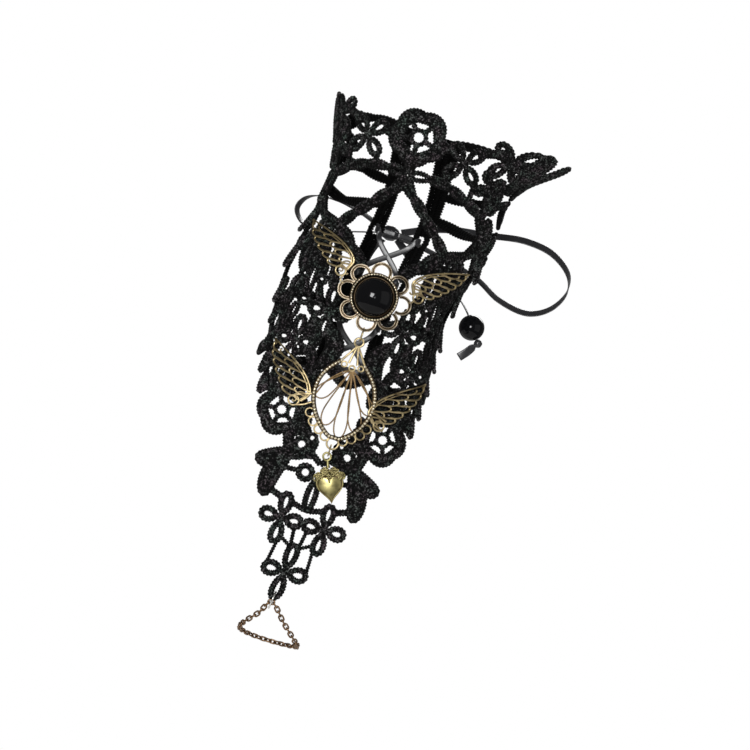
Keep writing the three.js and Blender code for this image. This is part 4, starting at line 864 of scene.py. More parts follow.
def math_node(tree, operation, a=None, b=None):
    node = tree.nodes.new("ShaderNodeMath")
    node.operation = operation
    for socket, value in zip(node.inputs, (a, b)):
        if isinstance(value, bpy.types.NodeSocket):
            tree.links.new(value, socket)
        elif value is not None:
            socket.default_value = value
    return node.outputs[0]


def named_value(tree, name):
    node = tree.nodes.new("GeometryNodeInputNamedAttribute")
    node.data_type = "FLOAT"
    node.inputs["Name"].default_value = name
    return node.outputs["Attribute"]


def new_group(name, kind, takes, gives):
    """A group of nodes with its sockets, and the nodes of what it takes and what it gives."""
    group = bpy.data.node_groups.new(name, kind)
    for way, sockets in (("INPUT", takes), ("OUTPUT", gives)):
        for label, value in sockets.items():
            group.interface.new_socket(name=label, in_out=way, socket_type="NodeSocket" + value)
    return group, group.nodes.new("NodeGroupInput"), group.nodes.new("NodeGroupOutput")


def making_tree(name, takes, *kinds):
    """A Geometry Nodes tree in which a drawn line becomes a curve, passes through nodes of the given
    kinds, is made real and gets its finish. Those nodes are given back after the tree and its input."""
    takes = {"Geometry": "Geometry", **takes, "Finish": "Material"}
    tree, taken, given = new_group(name, "GeometryNodeTree", takes, {"Geometry": "Geometry"})
    steps = [tree.nodes.new(kind) for kind in ("GeometryNodeMeshToCurve", *kinds)]
    realize = tree.nodes.new("GeometryNodeRealizeInstances")
    paint = tree.nodes.new("GeometryNodeSetMaterial")
    row = [taken, *steps, realize, paint, given]
    join(tree, *((a, 0, b, 0) for a, b in zip(row, row[1:])), (taken, "Finish", paint, "Material"))
    return tree, taken, *steps[1:]


stitched, taken, resample, store_along, sweep, place_cord = making_tree(
    "stitched_cord",
    {"Edge Pitch": "Float", "Edge Depth": "Float", "Step": "Float", "Sides": "Int"},
    "GeometryNodeResampleCurve",
    "GeometryNodeStoreNamedAttribute",
    "GeometryNodeCurveToMesh",
    "GeometryNodeSetPosition",
)
resample.mode = "LENGTH"
set_inputs(store_along, Name="along")
set_inputs(sweep, Fill_Caps=True)
spline_place = new_node(stitched, "GeometryNodeSplineParameter")
section_circle = new_node(stitched, "GeometryNodeCurvePrimitiveCircle", Radius=1)
cord_place = new_node(stitched, "GeometryNodeInputPosition")
split = new_node(stitched, "ShaderNodeSeparateXYZ")
whole = new_node(stitched, "ShaderNodeCombineXYZ")
join(
    stitched,
    (taken, "Step", resample, "Length"),
    (spline_place, "Length", store_along, "Value"),
    (taken, "Sides", section_circle, "Resolution"),
    (section_circle, "Curve", sweep, "Profile Curve"),
    (cord_place, 0, split, 0),
    (split, "X", whole, "X"),
    (split, "Y", whole, "Y"),
    (whole, 0, place_cord, "Position"),
)
LOOP_SINKS = 0.7
THINNEST = 0.1 * MM
turns = math_node(stitched, "DIVIDE", spline_place.outputs["Length"], taken.outputs["Edge Pitch"])
wave = math_node(stitched, "SINE", math_node(stitched, "MULTIPLY", turns, math.pi))
loops = math_node(stitched, "SUBTRACT", math_node(stitched, "ABSOLUTE", wave), LOOP_SINKS)
swell = math_node(stitched, "MULTIPLY", loops, taken.outputs["Edge Depth"])
swollen = math_node(stitched, "ADD", named_value(stitched, "half"), swell)
stitched.links.new(math_node(stitched, "MAXIMUM", swollen, THINNEST), sweep.inputs["Scale"])
flattened = math_node(stitched, "MULTIPLY", split.outputs["Z"], named_value(stitched, "flat"))
stitched.links.new(math_node(stitched, "ADD", flattened, named_value(stitched, "lift")), whole.inputs["Z"])


def made_by(tree, line, **values):
    """The mesh that a Geometry Nodes tree makes of a drawn line, with its named inputs set."""
    source = in_scene(line.name, line)
    modifier = source.modifiers.new("making", "NODES")
    modifier.node_group = tree
    for item in tree.interface.items_tree:
        if item.item_type == "SOCKET" and item.in_out == "INPUT" and item.name in values:
            modifier[item.identifier] = values[item.name]
    source.update_tag()
    seen = bpy.context.evaluated_depsgraph_get()
    solid = source.evaluated_get(seen)
    made = bpy.data.meshes.new_from_object(solid, preserve_all_data_layers=True, depsgraph=seen)
    source.modifiers.remove(modifier)
    bpy.data.objects.remove(source)
    return made


# Black thread. The lighter colour on it is painted light: bright specks on the tops of grains and along the
# crests of the cords, with the valleys left dark as painted shade.
lace_thread, tree, shader = finish_of("lace_thread", (0.006, 0.006, 0.006), 0.6, Specular_IOR_Level=0.12)
THREAD_PITCH = 0.3 * MM

# The group gives the relief of the stitches and grains for the bump, a mask of painted highlights on the
# tops of grains that is stronger on the crests of the cords than in their valleys, and a value that picks
# the colour of those painted highlights.
stitch_and_glint_look, taken, given = new_group(
    "satin_stitches",
    "ShaderNodeTree",
    {"Vector": "Vector", "Along": "Float", "Crest": "Float"},
    {"Height": "Float", "Lit": "Float", "Tint": "Float"},
)
grains = new_node(stitch_and_glint_look, "ShaderNodeTexVoronoi", Scale=1900)
wander = new_node(stitch_and_glint_look, "ShaderNodeTexNoise", Scale=900, Detail=1)
patches = new_node(stitch_and_glint_look, "ShaderNodeTexNoise", Scale=260)
lit = new_node(stitch_and_glint_look, "ShaderNodeMapRange", From_Min=0.74, From_Max=1.1)
# Painted light on the cords: the higher a place on the chart, the more its painted highlights show.
on_top = new_node(stitch_and_glint_look, "ShaderNodeMapRange", From_Min=LACE_MIDDLE + 0.4, From_Max=LACE_TOP + 0.15)
one_grain = new_node(stitch_and_glint_look, "ShaderNodeSeparateColor")
threads = math_node(stitch_and_glint_look, "MULTIPLY", taken.outputs["Along"], 2 * math.pi / THREAD_PITCH)
bent = math_node(stitch_and_glint_look, "ADD", threads, math_node(stitch_and_glint_look, "MULTIPLY", wander.outputs["Fac"], 9))
thread_wave = math_node(stitch_and_glint_look, "MULTIPLY", math_node(stitch_and_glint_look, "SINE", bent), 0.35)
grain_height = math_node(stitch_and_glint_look, "SUBTRACT", 1, grains.outputs["Distance"])
height = math_node(stitch_and_glint_look, "ADD", grain_height, thread_wave)
catches = math_node(stitch_and_glint_look, "MULTIPLY", one_grain.outputs["Red"], grain_height)
shine = math_node(stitch_and_glint_look, "ADD", catches, wander.outputs["Fac"])
painted_crest_light = math_node(stitch_and_glint_look, "MULTIPLY", lit.outputs["Result"], on_top.outputs["Result"])
stitch_and_glint_look.links.new(height, given.inputs["Height"])
stitch_and_glint_look.links.new(shine, lit.inputs["Value"])
stitch_and_glint_look.links.new(painted_crest_light, given.inputs["Lit"])
join(
    stitch_and_glint_look,
    *((taken, "Vector", texture, "Vector") for texture in (grains, wander, patches)),
    (grains, "Color", one_grain, "Color"),
    (taken, "Crest", on_top, "Value"),
    (patches, "Fac", given, "Tint"),
)

stitch_and_glint_node = new_node(tree, "ShaderNodeGroup")
stitch_and_glint_node.node_tree = stitch_and_glint_look
for name in ("along", "crest"):
    written = new_node(tree, "ShaderNodeAttribute")
    written.attribute_name = name
    join(tree, (written, "Fac", stitch_and_glint_node, name.title()))
# Greenish and purplish grey of the painted highlights on the thread.
painted_glint_color = new_node(tree, "ShaderNodeValToRGB")
for stop, place, color in zip(
    painted_glint_color.color_ramp.elements, (0.35, 0.65), ((0.11, 0.145, 0.125, 1), (0.15, 0.12, 0.135, 1))
):
    stop.position, stop.color = place, color
thread_with_painted_glints = new_node(tree, "ShaderNodeMix")
thread_with_painted_glints.data_type = "RGBA"
set_inputs(thread_with_painted_glints, A=(0.003, 0.003, 0.003, 1))
thread_relief = new_node(tree, "ShaderNodeBump", Strength=1.0, Distance=0.35 * MM)
join(
    tree,
    (new_node(tree, "ShaderNodeTexCoord"), "Object", stitch_and_glint_node, "Vector"),
    (stitch_and_glint_node, "Tint", painted_glint_color, "Fac"),
    (stitch_and_glint_node, "Lit", thread_with_painted_glints, "Factor"),
    (painted_glint_color, "Color", thread_with_painted_glints, "B"),
    (thread_with_painted_glints, "Result", shader, "Base Color"),
    (stitch_and_glint_node, "Height", thread_relief, "Height"),
    (thread_relief, "Normal", shader, "Normal"),
)


def on_chart(place):
    return on_lace(place[:, 0], place[:, 1], place[:, 2])


def settled(name, made, lay, node, slot):
    """A made mesh moved from its own drawing to its place on the arm, as a piece of a node."""
    place = np.empty(3 * len(made.vertices), np.float32)
    made.vertices.foreach_get("co", place)
    place = place.reshape(-1, 3) / MM
    # The height on the chart is kept as crest, with which the lace's finish paints the tops of the cords
    # lighter than their valleys.
    crest = made.attributes.new("crest", "FLOAT", "POINT")
    crest.data.foreach_set("value", place[:, 2].astype(np.float32))
    made.vertices.foreach_set("co", lay(place).astype(np.float32).ravel())
    made.shade_smooth()
    made.update()
    return fitted(in_scene(name, made), slot, node)


def swept_piece(name, cords, lay, finish, node, slot, pitch, depth, step):
    """One piece of cords or wires drawn flat, swept by the tree, then laid in place on the arm."""
    flat_mesh = bpy.data.meshes.new(name + "_chart")
    vertices, edges, half, flat, lift = [], [], [], [], []
    for points, half_row, flat_row, lift_by, closed in cords:
        first = len(vertices)
        vertices += [(s * MM, v * MM, 0) for s, v in points]
        edges += [(first + k, first + k + 1) for k in range(len(points) - 1)]
        if closed:
            edges.append((first + len(points) - 1, first))
        half += [h * MM for h in half_row]
        flat += list(flat_row)
        lift += [h * MM for h in np.broadcast_to(lift_by, (len(points),))]
    flat_mesh.from_pydata(vertices, edges, [])
    for attribute_name, values in (("half", half), ("flat", flat), ("lift", lift)):
        attribute = flat_mesh.attributes.new(attribute_name, "FLOAT", "POINT")
        attribute.data.foreach_set("value", np.array(values, np.float32))
    sizes = {"Edge Pitch": pitch * MM, "Edge Depth": depth * MM, "Step": step * MM, "Sides": CORD_SIDES}
    made = made_by(stitched, flat_mesh, Finish=finish, **sizes)
    return settled(name, made, lay, node, slot)


# Each stretch of the cuff becomes one piece, its cords swept and laid on the arm.
for name, cords in lace_cords.items():
    piece = swept_piece(
        name, cords, on_chart, lace_thread, "lace_cuff", "lace", EDGE_PITCH, EDGE_DEPTH, STITCH_STEP
    )

# Winged flower: eight round petals of brass wire are soldered round a milgrain bezel cup, with a cast
# filigree wing on each side. The plating is antique, with darker blotches at random. The bezel cup and the
# beds under the petals are painted dark as shade, and the grains on top are rubbed bright and painted
# bright as a highlight.
METAL_UNDER = 2.7
PLATE = 1.1
WIRE_MIDDLE = METAL_UNDER + PLATE / 2
FLOWER_X = 1.4
FRONT = -(19.8 + METAL_UNDER)
PETALS = 8
PETAL_SPREAD = np.linspace(-1.98, 1.98, 30)
PETAL_RING = 3.3
PETAL_CENTRE = 9.1
PETAL_WIRES = [
    # how far inside the petal's ring, half width and height: the rim and the thin wire inside it
    (0, 0.21, WIRE_MIDDLE + 0.2),
    (0.78, 0.13, WIRE_MIDDLE),
]
# A flat dark wire under each petal, painted shade in the gap between the petal's wires.
PETAL_BED = PETAL_RING - 0.38
BED_HALF = 0.42
BED_FLAT = 0.5
BED_MIDDLE = WIRE_MIDDLE - 0.35
BEZEL_RADIUS = 8.6
BEZEL_HEIGHT = 3.4
GRAIN_RING = 7.95
GRAINS = 51
GRAIN_MIDDLE = BEZEL_HEIGHT - 0.35
BEZEL_GRAIN = 0.42
WIRE_PITCH = 0.5
WIRE_STEP = 0.3

antique_look, taken, given = new_group(
    "antique_plating", "ShaderNodeTree", {"Vector": "Vector"}, {"Dark": "Float", "Wear": "Float"}
)
blotches = new_node(antique_look, "ShaderNodeTexNoise", Scale=420, Detail=4)
fine_wear = new_node(antique_look, "ShaderNodeTexNoise", Scale=2600, Detail=2)
dark_range = new_node(antique_look, "ShaderNodeMapRange", From_Min=0.46, From_Max=0.72)
join(
    antique_look,
    (taken, "Vector", blotches, "Vector"),
    (taken, "Vector", fine_wear, "Vector"),
    (blotches, "Fac", dark_range, "Value"),
    (dark_range, "Result", given, "Dark"),
    (fine_wear, "Fac", given, "Wear"),
)


def antique_metal(name, bright, dark, smooth, rough, how_dark=0.8):
    """Plated metal that is bright where it is rubbed and brown where the patina stays."""
    metal, tree, shader = finish_of(name, bright, smooth, 1.0)
    plating = new_node(tree, "ShaderNodeGroup")
    plating.node_tree = antique_look
    color = new_node(tree, "ShaderNodeMix")
    color.data_type = "RGBA"
    set_inputs(color, A=(*bright, 1), B=(*dark, 1))
    polish = new_node(tree, "ShaderNodeMapRange", To_Min=smooth, To_Max=rough)
    scratch = new_node(tree, "ShaderNodeBump", Strength=0.15, Distance=0.04 * MM)
    tree.links.new(math_node(tree, "MULTIPLY", plating.outputs["Dark"], how_dark), color.inputs["Factor"])
    join(
        tree,
        (new_node(tree, "ShaderNodeTexCoord"), "Object", plating, "Vector"),
        (color, "Result", shader, "Base Color"),
        (plating, "Wear", polish, "Value"),
        (polish, "Result", shader, "Roughness"),
        (plating, "Wear", scratch, "Height"),
        (scratch, "Normal", shader, "Normal"),
    )
    return metal


pale_brass = antique_metal("pale_brass", (0.5, 0.42, 0.31), (0.14, 0.1, 0.05), 0.2, 0.4, 0.6)
brass = antique_metal("antique_brass", (0.5, 0.4, 0.22), (0.07, 0.045, 0.022), 0.24, 0.42)
# Pale brass for the grains on the bezel and on the teardrop: partly rubbed wear, partly a painted highlight
# on their tops.
bright_brass = antique_metal("rubbed_brass", (0.85, 0.77, 0.58), (0.3, 0.22, 0.12), 0.25, 0.3, 0.4)
# Near-black brass that stands in for shade: painted shade on the bezel cup, the beds under the petals and
# the rim of the teardrop.
shaded_brass = antique_metal("shaded_brass", (0.1, 0.07, 0.04), (0.02, 0.014, 0.008), 0.35, 0.55)
# Dark brass for the bed under the heart's crown, painted shade.
dark_brass = antique_metal("dark_brass", (0.14, 0.1, 0.05), (0.03, 0.02, 0.012), 0.4, 0.65)


def wire_of(points, half, closed=False, lift=WIRE_MIDDLE, flat=1.0):
    points = np.array(points, float)
    half = np.broadcast_to(np.asarray(half, float), (len(points),))
    return points, half, np.full(len(points), flat), lift, closed


def bent_wire(points, half, steps=8, closed=False, lift=WIRE_MIDDLE, flat=1.0):
    """A wire along a smooth curve through a few points of the drawing."""
    route = route_through([(x, y, 0) for x, y in points], steps, closed)[:, :2]
    if not np.isscalar(half):
        half = np.interp(np.linspace(0, 1, len(route)), np.linspace(0, 1, len(half)), half)
    return wire_of(route, half, closed, lift, flat)


def round_wire(x, y, radius, half, lift=WIRE_MIDDLE, flat=1.0):
    t = round_steps(28)
    return wire_of(np.stack([x + radius * np.cos(t), y + radius * np.sin(t)], -1), half, True, lift, flat)


def brass_wires(
    name, wires, node, finish=None, slot="brass", lay=on_chart, pitch=WIRE_PITCH, depth=0.0, step=WIRE_STEP
):
    return swept_piece(name, wires, lay, finish or brass, node, slot, pitch, depth, step)


def petal_arc(angle, radius):
    x, y = PETAL_CENTRE * math.cos(angle), PETAL_CENTRE * math.sin(angle)
    return [(x + radius * math.cos(angle + a), y + radius * math.sin(angle + a)) for a in PETAL_SPREAD]


petal_wires, petal_beds = [], []
for i in range(PETALS):
    angle = 2 * math.pi * i / PETALS
    for inside, half, lift in PETAL_WIRES:
        petal_wires.append(wire_of(petal_arc(angle, PETAL_RING - inside), half, lift=lift))
    petal_beds.append(wire_of(petal_arc(angle, PETAL_BED), BED_HALF, lift=BED_MIDDLE, flat=BED_FLAT))
brass_wires("flower_petals", petal_wires, "winged_flower_setting", pale_brass)
# The beds under the petals are painted shade.
brass_wires("petal_beds", petal_beds, "winged_flower_setting", shaded_brass)

CUP_PROFILE = [
    # radius and height of the bezel cup, from the middle of its back to the middle of its floor
    (0.02, 0.25),
    (7.6, 0.0),
    (8.35, 0.1),
    (BEZEL_RADIUS, 0.5),
    (BEZEL_RADIUS, 2.6),
    (8.5, 2.95),
    (8.3, 3.1),
    (7.9, 3.1),
    (7.6, 2.9),
    (7.45, 2.4),
    (7.3, 1.5),
    (6.9, 1.4),
    (0.02, 1.4),
]
OUT = (0, -1, 0)
CUP_PLACE = np.array((FLOWER_X, FRONT, 0)) * MM
CUP_SIDES = 96


def turned_piece(name, profile, finish, node, slot):
    in_metres = [(r * MM, h * MM) for r, h in profile]
    vertices, faces = turned_mesh(in_metres, CUP_SIDES, CUP_PLACE, OUT)
    return fitted(smooth_piece(name, vertices, faces, finish), slot, node)


# The bezel cup is painted dark as the shade round the stone.
turned_piece("bezel_cup", CUP_PROFILE, shaded_brass, "winged_flower_setting", "brass")

grained, taken, resample, to_points = making_tree(
    "milgrain",
    {"Count": "Int", "Radius": "Float"},
    "GeometryNodeResampleCurve",
    "GeometryNodeInstanceOnPoints",
)
grain = new_node(grained, "GeometryNodeMeshUVSphere", Segments=12, Rings=8)
join(
    grained,
    (taken, "Count", resample, "Count"),
    (taken, "Radius", grain, "Radius"),
    (grain, "Mesh", to_points, "Instance"),
)


def line_of(name, points, closed):
    """A drawn line through points given in millimetres."""
    count = len(points)
    line = bpy.data.meshes.new(name + "_line")
    edges = [(k, (k + 1) % count) for k in range(count if closed else count - 1)]
    line.from_pydata((np.array(points, float) * MM).tolist(), edges, [])
    return line


def grain_row(name, points, closed, count, radius, lay, finish, node):
    """A row of small round grains evenly along a line of points given in millimetres."""
    made = made_by(grained, line_of(name, points, closed), Count=count, Radius=radius * MM, Finish=finish)
    return settled(name, made, lay, node, "brass")


grain_row(
    "bezel_grains",
    [(GRAIN_RING * math.cos(a), GRAIN_RING * math.sin(a), GRAIN_MIDDLE) for a in round_steps(180)],
    True,
    GRAINS,
    BEZEL_GRAIN,
    lambda p: (np.stack([FLOWER_X + p[:, 0], FRONT - p[:, 2], p[:, 1]], -1)) * MM,
    bright_brass,
    "winged_flower_setting",
)

WING_LEAD = [(-1.0, 2.2), (0.6, 6.0), (6, 6.8), (13.9, 4.6), (23.2, 0)]
WING_TRAIL = [(0.6, -2.0), (5.9, -2.2), (12.3, -2.4), (18.4, -2.0), (23.2, 0)]
WING_RING = 1.75
FEATHERS = 6
FEATHER_ROWS = 0.93
LEAD_HALF = (0.5, 0.42, 0.28)
SECOND_LEAD = (0.93, (0.3, -0.35), 0.22)  # size against the lead wire, how far moved, half width
FEATHER_HALF = (0.32, 0.34)  # inner and outer row
FEATHER_INNER = [(0, 0.03), (0.015, 0.2), (0.04, 0.38), (0.08, 0.52), (0.12, 0.54), (0.155, 0.46)]
FEATHER_OUTER = [
    # share of the wing's length past the feather's root, and share of its width from the lead wire
    (0.085, 0.52),
    (0.095, 0.68),
    (0.12, 0.86),
    (0.16, 1.0),
    (0.205, 1.03),
    (0.245, 0.96),
    (0.262, 0.84),
]
FEATHER_TIP = [(0.9, 0.78), (0.95, 0.84), (1.0, 0.5)]
WING_CURLS = [
    # a curled wire at the root, and its half width
    ([(1.3, 1.0), (0.4, 1.1), (-0.4, 0.5), (-0.2, -0.3), (0.4, -0.2)], 0.22),
    ([(1.4, 1.0), (2.2, 2.6), (1.2, 4.4), (-0.2, 4.2)], 0.25),
]
WINGS = [
    # piece, node, side, place of its ring, turn and size
    ("upper_wing_right", "winged_flower_setting", 1, 13.9, 4.2, 39.5, 0.9),
    ("upper_wing_left", "winged_flower_setting", -1, 13.2, 5.6, 42, 0.93),
    ("lower_wing_right", "winged_teardrop", 1, 14.9, -42.6, 56, 0.98),
    ("lower_wing_left", "winged_teardrop", -1, 14.9, -42.6, 56, 0.98),
]
lead_line = route_through([(x, y, 0) for x, y in WING_LEAD], 16)[:, :2]
trail_line = route_through([(x, y, 0) for x, y in WING_TRAIL], 16)[:, :2]


def along_line(line, u):
    at = np.clip(np.asarray(u, float), 0, 1) * (len(line) - 1)
    i = np.minimum(at.astype(int), len(line) - 2)
    part = (at - i)[..., None]
    return line[i] * (1 - part) + line[i + 1] * part


def wing_wires(side, root_s, root_v, turn_by, size):
    """Lead wire, two rows of feathers with round ends, and the curled ring at the root."""
    angle = math.radians(turn_by)

    def put(points):
        points = np.asarray(points, float) * size
        x = points[:, 0] * math.cos(angle) - points[:, 1] * math.sin(angle)
        y = points[:, 0] * math.sin(angle) + points[:, 1] * math.cos(angle)
        return np.stack([side * (root_s + x), root_v + y], -1)

    def feather(steps, half, lift):
        u, w = np.array(steps, float).T
        at = along_line(lead_line, u) * (1 - w)[:, None] + along_line(trail_line, u) * w[:, None]
        return bent_wire(put(at), half, 6, lift=lift)

    share = np.linspace(0, 1, len(lead_line))
    size_by, moved, thin = SECOND_LEAD
    wires = [
        wire_of(put(lead_line), np.interp(share, (0, 0.3, 1), LEAD_HALF)),
        wire_of(put(lead_line[:50] * size_by + moved), thin, lift=WIRE_MIDDLE + 0.2),
    ]
    step = FEATHER_ROWS / (FEATHERS + 0.9)
    for i in range(FEATHERS):
        u = (i + 0.1) * step
        inner = [(u + past, w) for past, w in FEATHER_INNER] + [(u + step + 0.03, 0.32)]
        outer = [(u + past, w) for past, w in FEATHER_OUTER] + [(u + step + 0.1, 0.68)]
        wires.append(feather(inner, FEATHER_HALF[0], WIRE_MIDDLE))
        wires.append(feather(outer, FEATHER_HALF[1], WIRE_MIDDLE - 0.05))
    wires.append(feather(FEATHER_TIP, FEATHER_HALF[1], WIRE_MIDDLE))
    wires.append(round_wire(*put([(0, 0)])[0], WING_RING, FEATHER_HALF[1]))
    wires += [bent_wire(put(curl), half) for curl, half in WING_CURLS]
    return wires


for name, node, side, s, v, turn_by, size in WINGS:
    wires = wing_wires(side, s, v, turn_by, size)
    if node == "winged_flower_setting":
        wires.append(bent_wire([(side * 11.2, 1.6), (side * 12.4, 2.3), (side * (s - 1.2), v - 1.3)], 0.34))
        wires.append(bent_wire([(side * 10.6, 5.3), (side * 11.2, 4.8), (side * (s - 1.4), v + 1.0)], 0.3))
    brass_wires(name, wires, node)

# Cabochon: one domed stone of black glass, round and polished, with a flat foot. It sits in the bezel
# cup inside the ring of grains and is glued to the cup's floor.
STONE_RADIUS = 6.75
STONE_SEAT = 1.75
STONE_GIRDLE = 2.6
STONE_DOME = 4.6
dome = [(0.02, STONE_SEAT), (STONE_RADIUS - 0.4, STONE_SEAT), (STONE_RADIUS, STONE_GIRDLE - 0.3)]
for a in np.linspace(0, math.pi / 2, 26):
    reach = max(STONE_RADIUS * math.cos(a), 0.02)
    dome.append((reach, STONE_GIRDLE + STONE_DOME * math.sin(a)))
turned_piece("cabochon_stone", dome, black_glass, "cabochon", "stone")

# Winged teardrop: a cast frame edged with grains hangs by its eye from the flower. A fan of twisted
# wire leaves fills it, and small loops and a pair of wings stand round its lower half.
DROP_FRAME = [
    # height on the chart and half width
    (-18.2, 0.9),
    (-21.2, 2.3),
    (-24.2, 4.8),
    (-28.0, 8.2),
    (-32.2, 10.3),
    (-37.0, 11.0),
    (-41.4, 10.3),
    (-45.4, 8.4),
    (-48.8, 5.6),
    (-51.0, 2.6),
    (-51.8, 0),
]
DROP_LEAN = 0.052
DROP_TOP = -16.7
DROP_SCALLOPS = [(9.95, -45.0), (8.3, -47.7), (5.8, -49.8), (3.2, -51.5)]
DROP_TOE = -53.2

DROP_RINGS = [
    # place, radius, half width of the wire, and how far it is set back
    (0, DROP_TOP, 1.5, 0.38, 0),
    (-2.9, -25.4, 0.95, 0.3, 0),
    (0, -26.1, 0.95, 0.3, 0),
    (2.9, -25.4, 0.95, 0.3, 0),
    *((side * s, v, 1.5, 0.3, 0.1) for s, v in DROP_SCALLOPS for side in (1, -1)),
    (0, DROP_TOE, 2.0, 0.34, 0.1),
]
DROP_ROD_HALF = (0.3, 0.36, 0.42)
RIM_INSIDE = 0.75
RIM_HALF = 0.82
RIM_GRAIN = 0.54
RIM_GRAIN_PITCH = 1.15
DROP_RODS = [[(0.2, -18.1), (2.2, -21.3), (4.3, -24.6)], [(0.1, -18.1), (0.8, -21.3), (1.5, -24.6)]]
DROP_STRUTS = [
    # wire from the frame to a lower wing, and its half width
    ([(10.4, -38.6), (12.6, -39.2), (15.6, -40.4)], 0.4),
    ([(10.2, -41.4), (12.6, -43.0), (15.2, -44.0)], 0.34),
]


def on_drop(points, side=1):
    """Points of the drawing, turned over for the left side, where the leaning teardrop has them."""
    return [(side * s + DROP_LEAN * (DROP_TOP - v), v) for s, v in points]


shoulder = [(half - RIM_INSIDE, v) for v, half in DROP_FRAME[2:-1]]
frame_line = shoulder + [(0, DROP_FRAME[-1][0] + RIM_INSIDE)] + [(-s, v) for s, v in reversed(shoulder)]
frame_route = route_through([(s, v, 0) for s, v in on_drop(frame_line)], 14)[:, :2]
# The rim of the teardrop is painted dark as shade under its row of grains.
brass_wires("teardrop_rim", [wire_of(frame_route, RIM_HALF, flat=0.6)], "winged_teardrop", shaded_brass)
drop_wires = [bent_wire(on_drop(rod, side), DROP_ROD_HALF) for rod in DROP_RODS for side in (1, -1)]
for s, v, radius, half, back in DROP_RINGS:
    drop_wires.append(round_wire(*on_drop([(s, v)])[0], radius, half, WIRE_MIDDLE - back))
drop_wires += [bent_wire(on_drop(strut, side), half) for side in (1, -1) for strut, half in DROP_STRUTS]
brass_wires("teardrop_frame", drop_wires, "winged_teardrop")
grain_line = np.column_stack([frame_route, np.full(len(frame_route), WIRE_MIDDLE + 0.42)])
grains = int(length_along(frame_route)[-1] / RIM_GRAIN_PITCH)
grain_row("teardrop_grains", grain_line, False, grains, RIM_GRAIN, on_chart, bright_brass, "winged_teardrop")

FAN_ROOT = (0.4, -26.5)
FAN = [
    # turn, length and width of each leaf
    (-37.6, 15.8, 4.4),
    (-13, 21.8, 4.7),
    (2, 24.6, 4.2),
    (16.5, 21.8, 4.4),
    (34.5, 16.6, 4.2),
]
FAN_LEAF = [(0, 0), (0.3, 0.22), (0.6, 0.44), (0.82, 0.5), (0.95, 0.32), (1.0, 0)]
FAN_HALF = 0.25
FAN_ARC_HALF = 0.28
FAN_ARC = [(0.6, -26.8), (4.0, -29.4), (7.2, -33.0), (9.6, -38.2)]
fan_brass = antique_metal("fan_brass", (0.3, 0.2, 0.1), (0.06, 0.04, 0.02), 0.25, 0.5)
fan_wires = []
u, w = np.array(FAN_LEAF + [(u, -w) for u, w in reversed(FAN_LEAF[1:-1])]).T
for fan, long, wide in FAN:
    points = turned_points(u * long, w * wide, math.radians(fan - 90), *FAN_ROOT, 1)
    fan_wires.append(bent_wire(on_drop(points), FAN_HALF, 8, True, WIRE_MIDDLE - 0.15))
fan_wires += [bent_wire(on_drop(FAN_ARC, side), FAN_ARC_HALF, lift=WIRE_MIDDLE - 0.1) for side in (1, -1)]
brass_wires("teardrop_fan", fan_wires, "winged_teardrop", fan_brass, pitch=0.6, depth=0.12, step=0.15)

# Jump rings: short turns of round wire, two of brass and one of plated steel, closed edge to edge. Each
# stands across the lace and joins what hangs below to the piece above it.
steel = antique_metal("plated_steel", (0.75, 0.73, 0.69), (0.35, 0.33, 0.3), 0.18, 0.35, 0.5)
RING_STEPS = 48
RING_SIDES = 14
RINGS_STANDING = [
    # node, place on the chart and height, radius, wire, finish and slot
    ("upper_jump_ring", 0, -13.75, 3.3, 2.45, 0.5, brass, "brass"),
    ("lower_jump_ring", 1.65, -55.75, 3.3, 2.0, 0.5, brass, "brass"),
    ("finger_jump_ring", 0, -111.6, 2.5, 3.1, 0.6, steel, "steel"),
]

for name, s, v, h, radius, wire, finish, slot in RINGS_STANDING:
    turn, around = round_steps(RING_STEPS)[:, None], round_steps(RING_SIDES)[None, :]
    reach = radius + wire / 2 * np.cos(around)
    x = np.broadcast_to(wire / 2 * np.sin(around), (RING_STEPS, RING_SIDES))
    vertices = np.stack([x, reach * np.cos(turn), reach * np.sin(turn)], -1).reshape(-1, 3)
    faces = grid_faces(RING_STEPS, RING_SIDES, joined=True, other_way=True)
    made = mesh_of(name + "_wire", (vertices + (s, v, h)) * MM, faces, finish)
    settled(name + "_wire", made, on_chart, name, slot)

# Heart charm: stamped and puffed, with a raised rim, a crown of small cast flowers along the top and a
# bail ring. It hangs a little off the middle line and leans to the right.
HEART_AT = (5.4, -67.9)
HEART_LEAN = math.radians(22)
HEART_WIDE = 9.6
HEART_HIGH = 11.6
BAIL_AT = 10.6
HEART_SIDES = 96
HEART_BASE = METAL_UNDER
heart_gold = antique_metal("olive_gold", (0.34, 0.3, 0.13), (0.08, 0.065, 0.03), 0.3, 0.4, 0.75)


def heart_line(count):
    a = round_steps(count)[::-1]
    x = np.sin(a) ** 3 * HEART_WIDE / 2
    y = (13 * np.cos(a) - 5 * np.cos(2 * a) - 2 * np.cos(3 * a) - np.cos(4 * a)) / 16 * HEART_HIGH / 2
    return np.stack([x, y], -1)


def on_heart(place):
    x = place[:, 0] * math.cos(HEART_LEAN) - place[:, 1] * math.sin(HEART_LEAN) + HEART_AT[0]
    y = place[:, 0] * math.sin(HEART_LEAN) + place[:, 1] * math.cos(HEART_LEAN) + HEART_AT[1]
    return on_lace(x, y, place[:, 2] + HEART_BASE)


